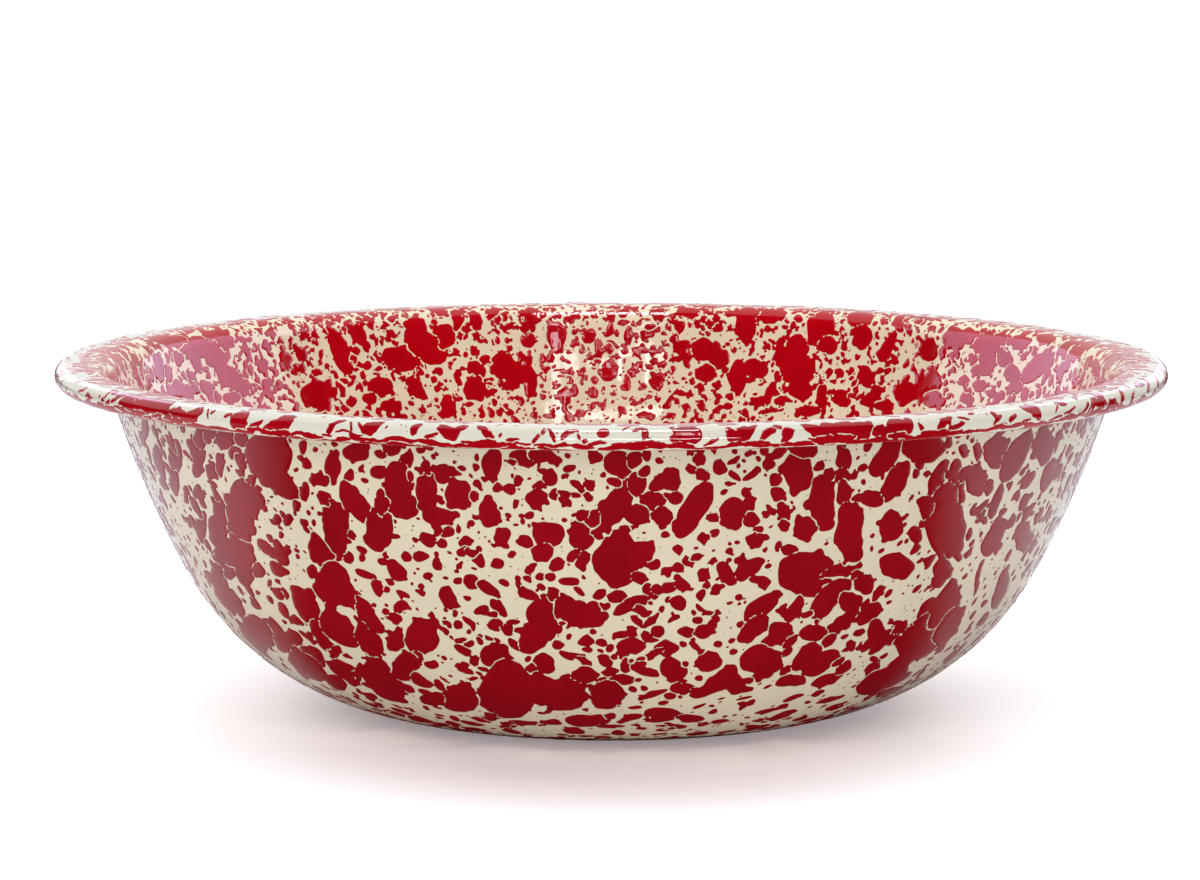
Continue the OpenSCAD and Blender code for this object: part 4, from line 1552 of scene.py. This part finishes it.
def studio_floor():
    """White floor with the bowl's shadow and painted shade near it; dark cloth in reflections in
    front.
    """
    material = bpy.data.materials.new("white_floor")
    tree = emptied(material)
    path = add(tree, "LightPath").outputs
    paint = add(tree, "BsdfDiffuse", Color=FLOOR_PAINT_BOUNCE_TINT).outputs[0]
    cloth = add(tree, "BsdfDiffuse", Color=FLOOR_CLOTH).outputs[0]
    shine = add(tree, "Emission", Color=FLOOR_SHINE, Strength=1.0).outputs[0]
    place = on_object(tree)
    way = add(tree, "SeparateXYZ", vectors(tree, "NORMALIZE", place)).outputs
    in_front = mapped(tree, way["Y"], *CLOTH_IN_FRONT)
    length = distance(tree, place)
    far_off = mapped(tree, length, *CLOTH_FAR_OFF)
    # Painted shade: the glow fades to its weaker mauve near the bowl, over a stretched patch
    drawn = vectors(tree, "MULTIPLY_ADD", place, PAINTED_SHADE_STRETCH, PAINTED_SHADE_SHIFT)
    near = mapped(tree, distance(tree, drawn), *PAINTED_SHADE_REACH)
    glow = add(tree, "Emission", Color=mixed(tree, near, GLOW_FAR, GLOW_NEAR_PAINTED_SHADE), Strength=1.0)
    both = add(tree, "AddShader", paint, glow.outputs[0]).outputs[0]
    glossy = path["Is Glossy Ray"]
    mirrored = maths(tree, "MULTIPLY", maths(tree, "MAXIMUM", in_front, far_off), glossy)
    shiny = maths(tree, "MULTIPLY", glossy, mapped(tree, length, *SHINE_AROUND))
    plain = mix_shaders(tree, mirrored, mix_shaders(tree, shiny, paint, shine), cloth)
    seen = mix_shaders(tree, path["Is Camera Ray"], plain, both)
    add(tree, "OutputMaterial", Surface=seen)
    floor = card("floor", plain_card(2 * FLOOR_HALF, 2 * FLOOR_HALF)[0], [(0, 1, 2, 3)], material)


def photo_camera(view):
    """Camera of the photograph."""
    data = bpy.data.cameras.new("photo_camera")
    data.sensor_width = SENSOR_W
    data.lens = FOCAL_PX * SENSOR_W / PHOTO_W
    data.clip_start = 0.05
    data.clip_end = 50
    camera = into_scene("photo_camera", data)
    camera.matrix_world = Matrix.Translation(Vector(view.place)) @ view.turn.to_4x4()
    return camera


class BOWL_OT_stage(Operator):
    """Set the white studio, its soft lamps and the camera"""

    bl_idname = "enamel_bowl.stage"
    bl_label = "Studio"

    def execute(self, context):
        scene = context.scene
        sizes = scene.bowl_sizes
        scene.view_settings.view_transform = "Standard"
        studio_world()
        studio_floor()
        middle = (0, 0, sizes.height / 2)
        area_lamp("overhead_lamp", *OVERHEAD_LAMP, middle)
        area_lamp("front_lamp", *FRONT_LAMP, middle)
        area_lamp("bounce_lamp", *BOUNCE_LAMP, BOUNCE_TARGET)
        view = PhotoView(sizes)
        glaze_map = GlazeMap(Section(sizes), inside=True)
        for name, back, places, strength in WINDOW_LAYERS:
            place = (WINDOW_PLACE[0], WINDOW_PLACE[1] + back, WINDOW_PLACE[2] - back)
            cards = window_cards(places, view, glaze_map, place, WINDOW_TARGET)
            softbox(name, place, WINDOW_TARGET, cards, strength)
        for number, place in enumerate(SIDE_CARDS, 1):
            softbox(f"side_card_{number}", place, SIDE_CARD_TARGET, plain_card(*SIDE_CARD_SIZE),
                    SIDE_CARD_STRENGTH, SIDE_CARD_COLOUR)
        softbox("strip", STRIP_PLACE, STRIP_TARGET, plain_card(*STRIP_SIZE), STRIP_STRENGTH)
        scene.camera = photo_camera(view)
        return {"FINISHED"}


class BOWL_PT_build(Panel):
    """Buttons that build the bowl"""

    bl_idname = "BOWL_PT_build"
    bl_label = "Enamel Bowl"
    bl_space_type = "VIEW_3D"
    bl_region_type = "UI"
    bl_category = "Enamel Bowl"

    def draw(self, context):
        for operator in OPERATORS:
            self.layout.operator(operator.bl_idname)


OPERATORS = (BOWL_OT_inner_layers, BOWL_OT_cream_coats, BOWL_OT_red_outside,
             BOWL_OT_red_inside, BOWL_OT_stage)
CLASSES = (BowlSizes, BowlColours, BowlSplatter, *OPERATORS, BOWL_PT_build)


def register():
    for cls in CLASSES:
        bpy.utils.register_class(cls)
    bpy.types.Scene.bowl_sizes = PointerProperty(type=BowlSizes)
    bpy.types.Scene.bowl_colours = PointerProperty(type=BowlColours)
    bpy.types.Scene.bowl_splatter = PointerProperty(type=BowlSplatter)


def unregister():
    del bpy.types.Scene.bowl_splatter
    del bpy.types.Scene.bowl_colours
    del bpy.types.Scene.bowl_sizes
    for cls in reversed(CLASSES):
        bpy.utils.unregister_class(cls)


def main():
    """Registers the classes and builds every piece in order."""
    register()
    bpy.ops.enamel_bowl.inner_layers()
    bpy.ops.enamel_bowl.cream_coats()
    bpy.ops.enamel_bowl.red_outside()
    bpy.ops.enamel_bowl.red_inside()
    bpy.ops.enamel_bowl.stage()


if __name__ == "__main__":
    main()
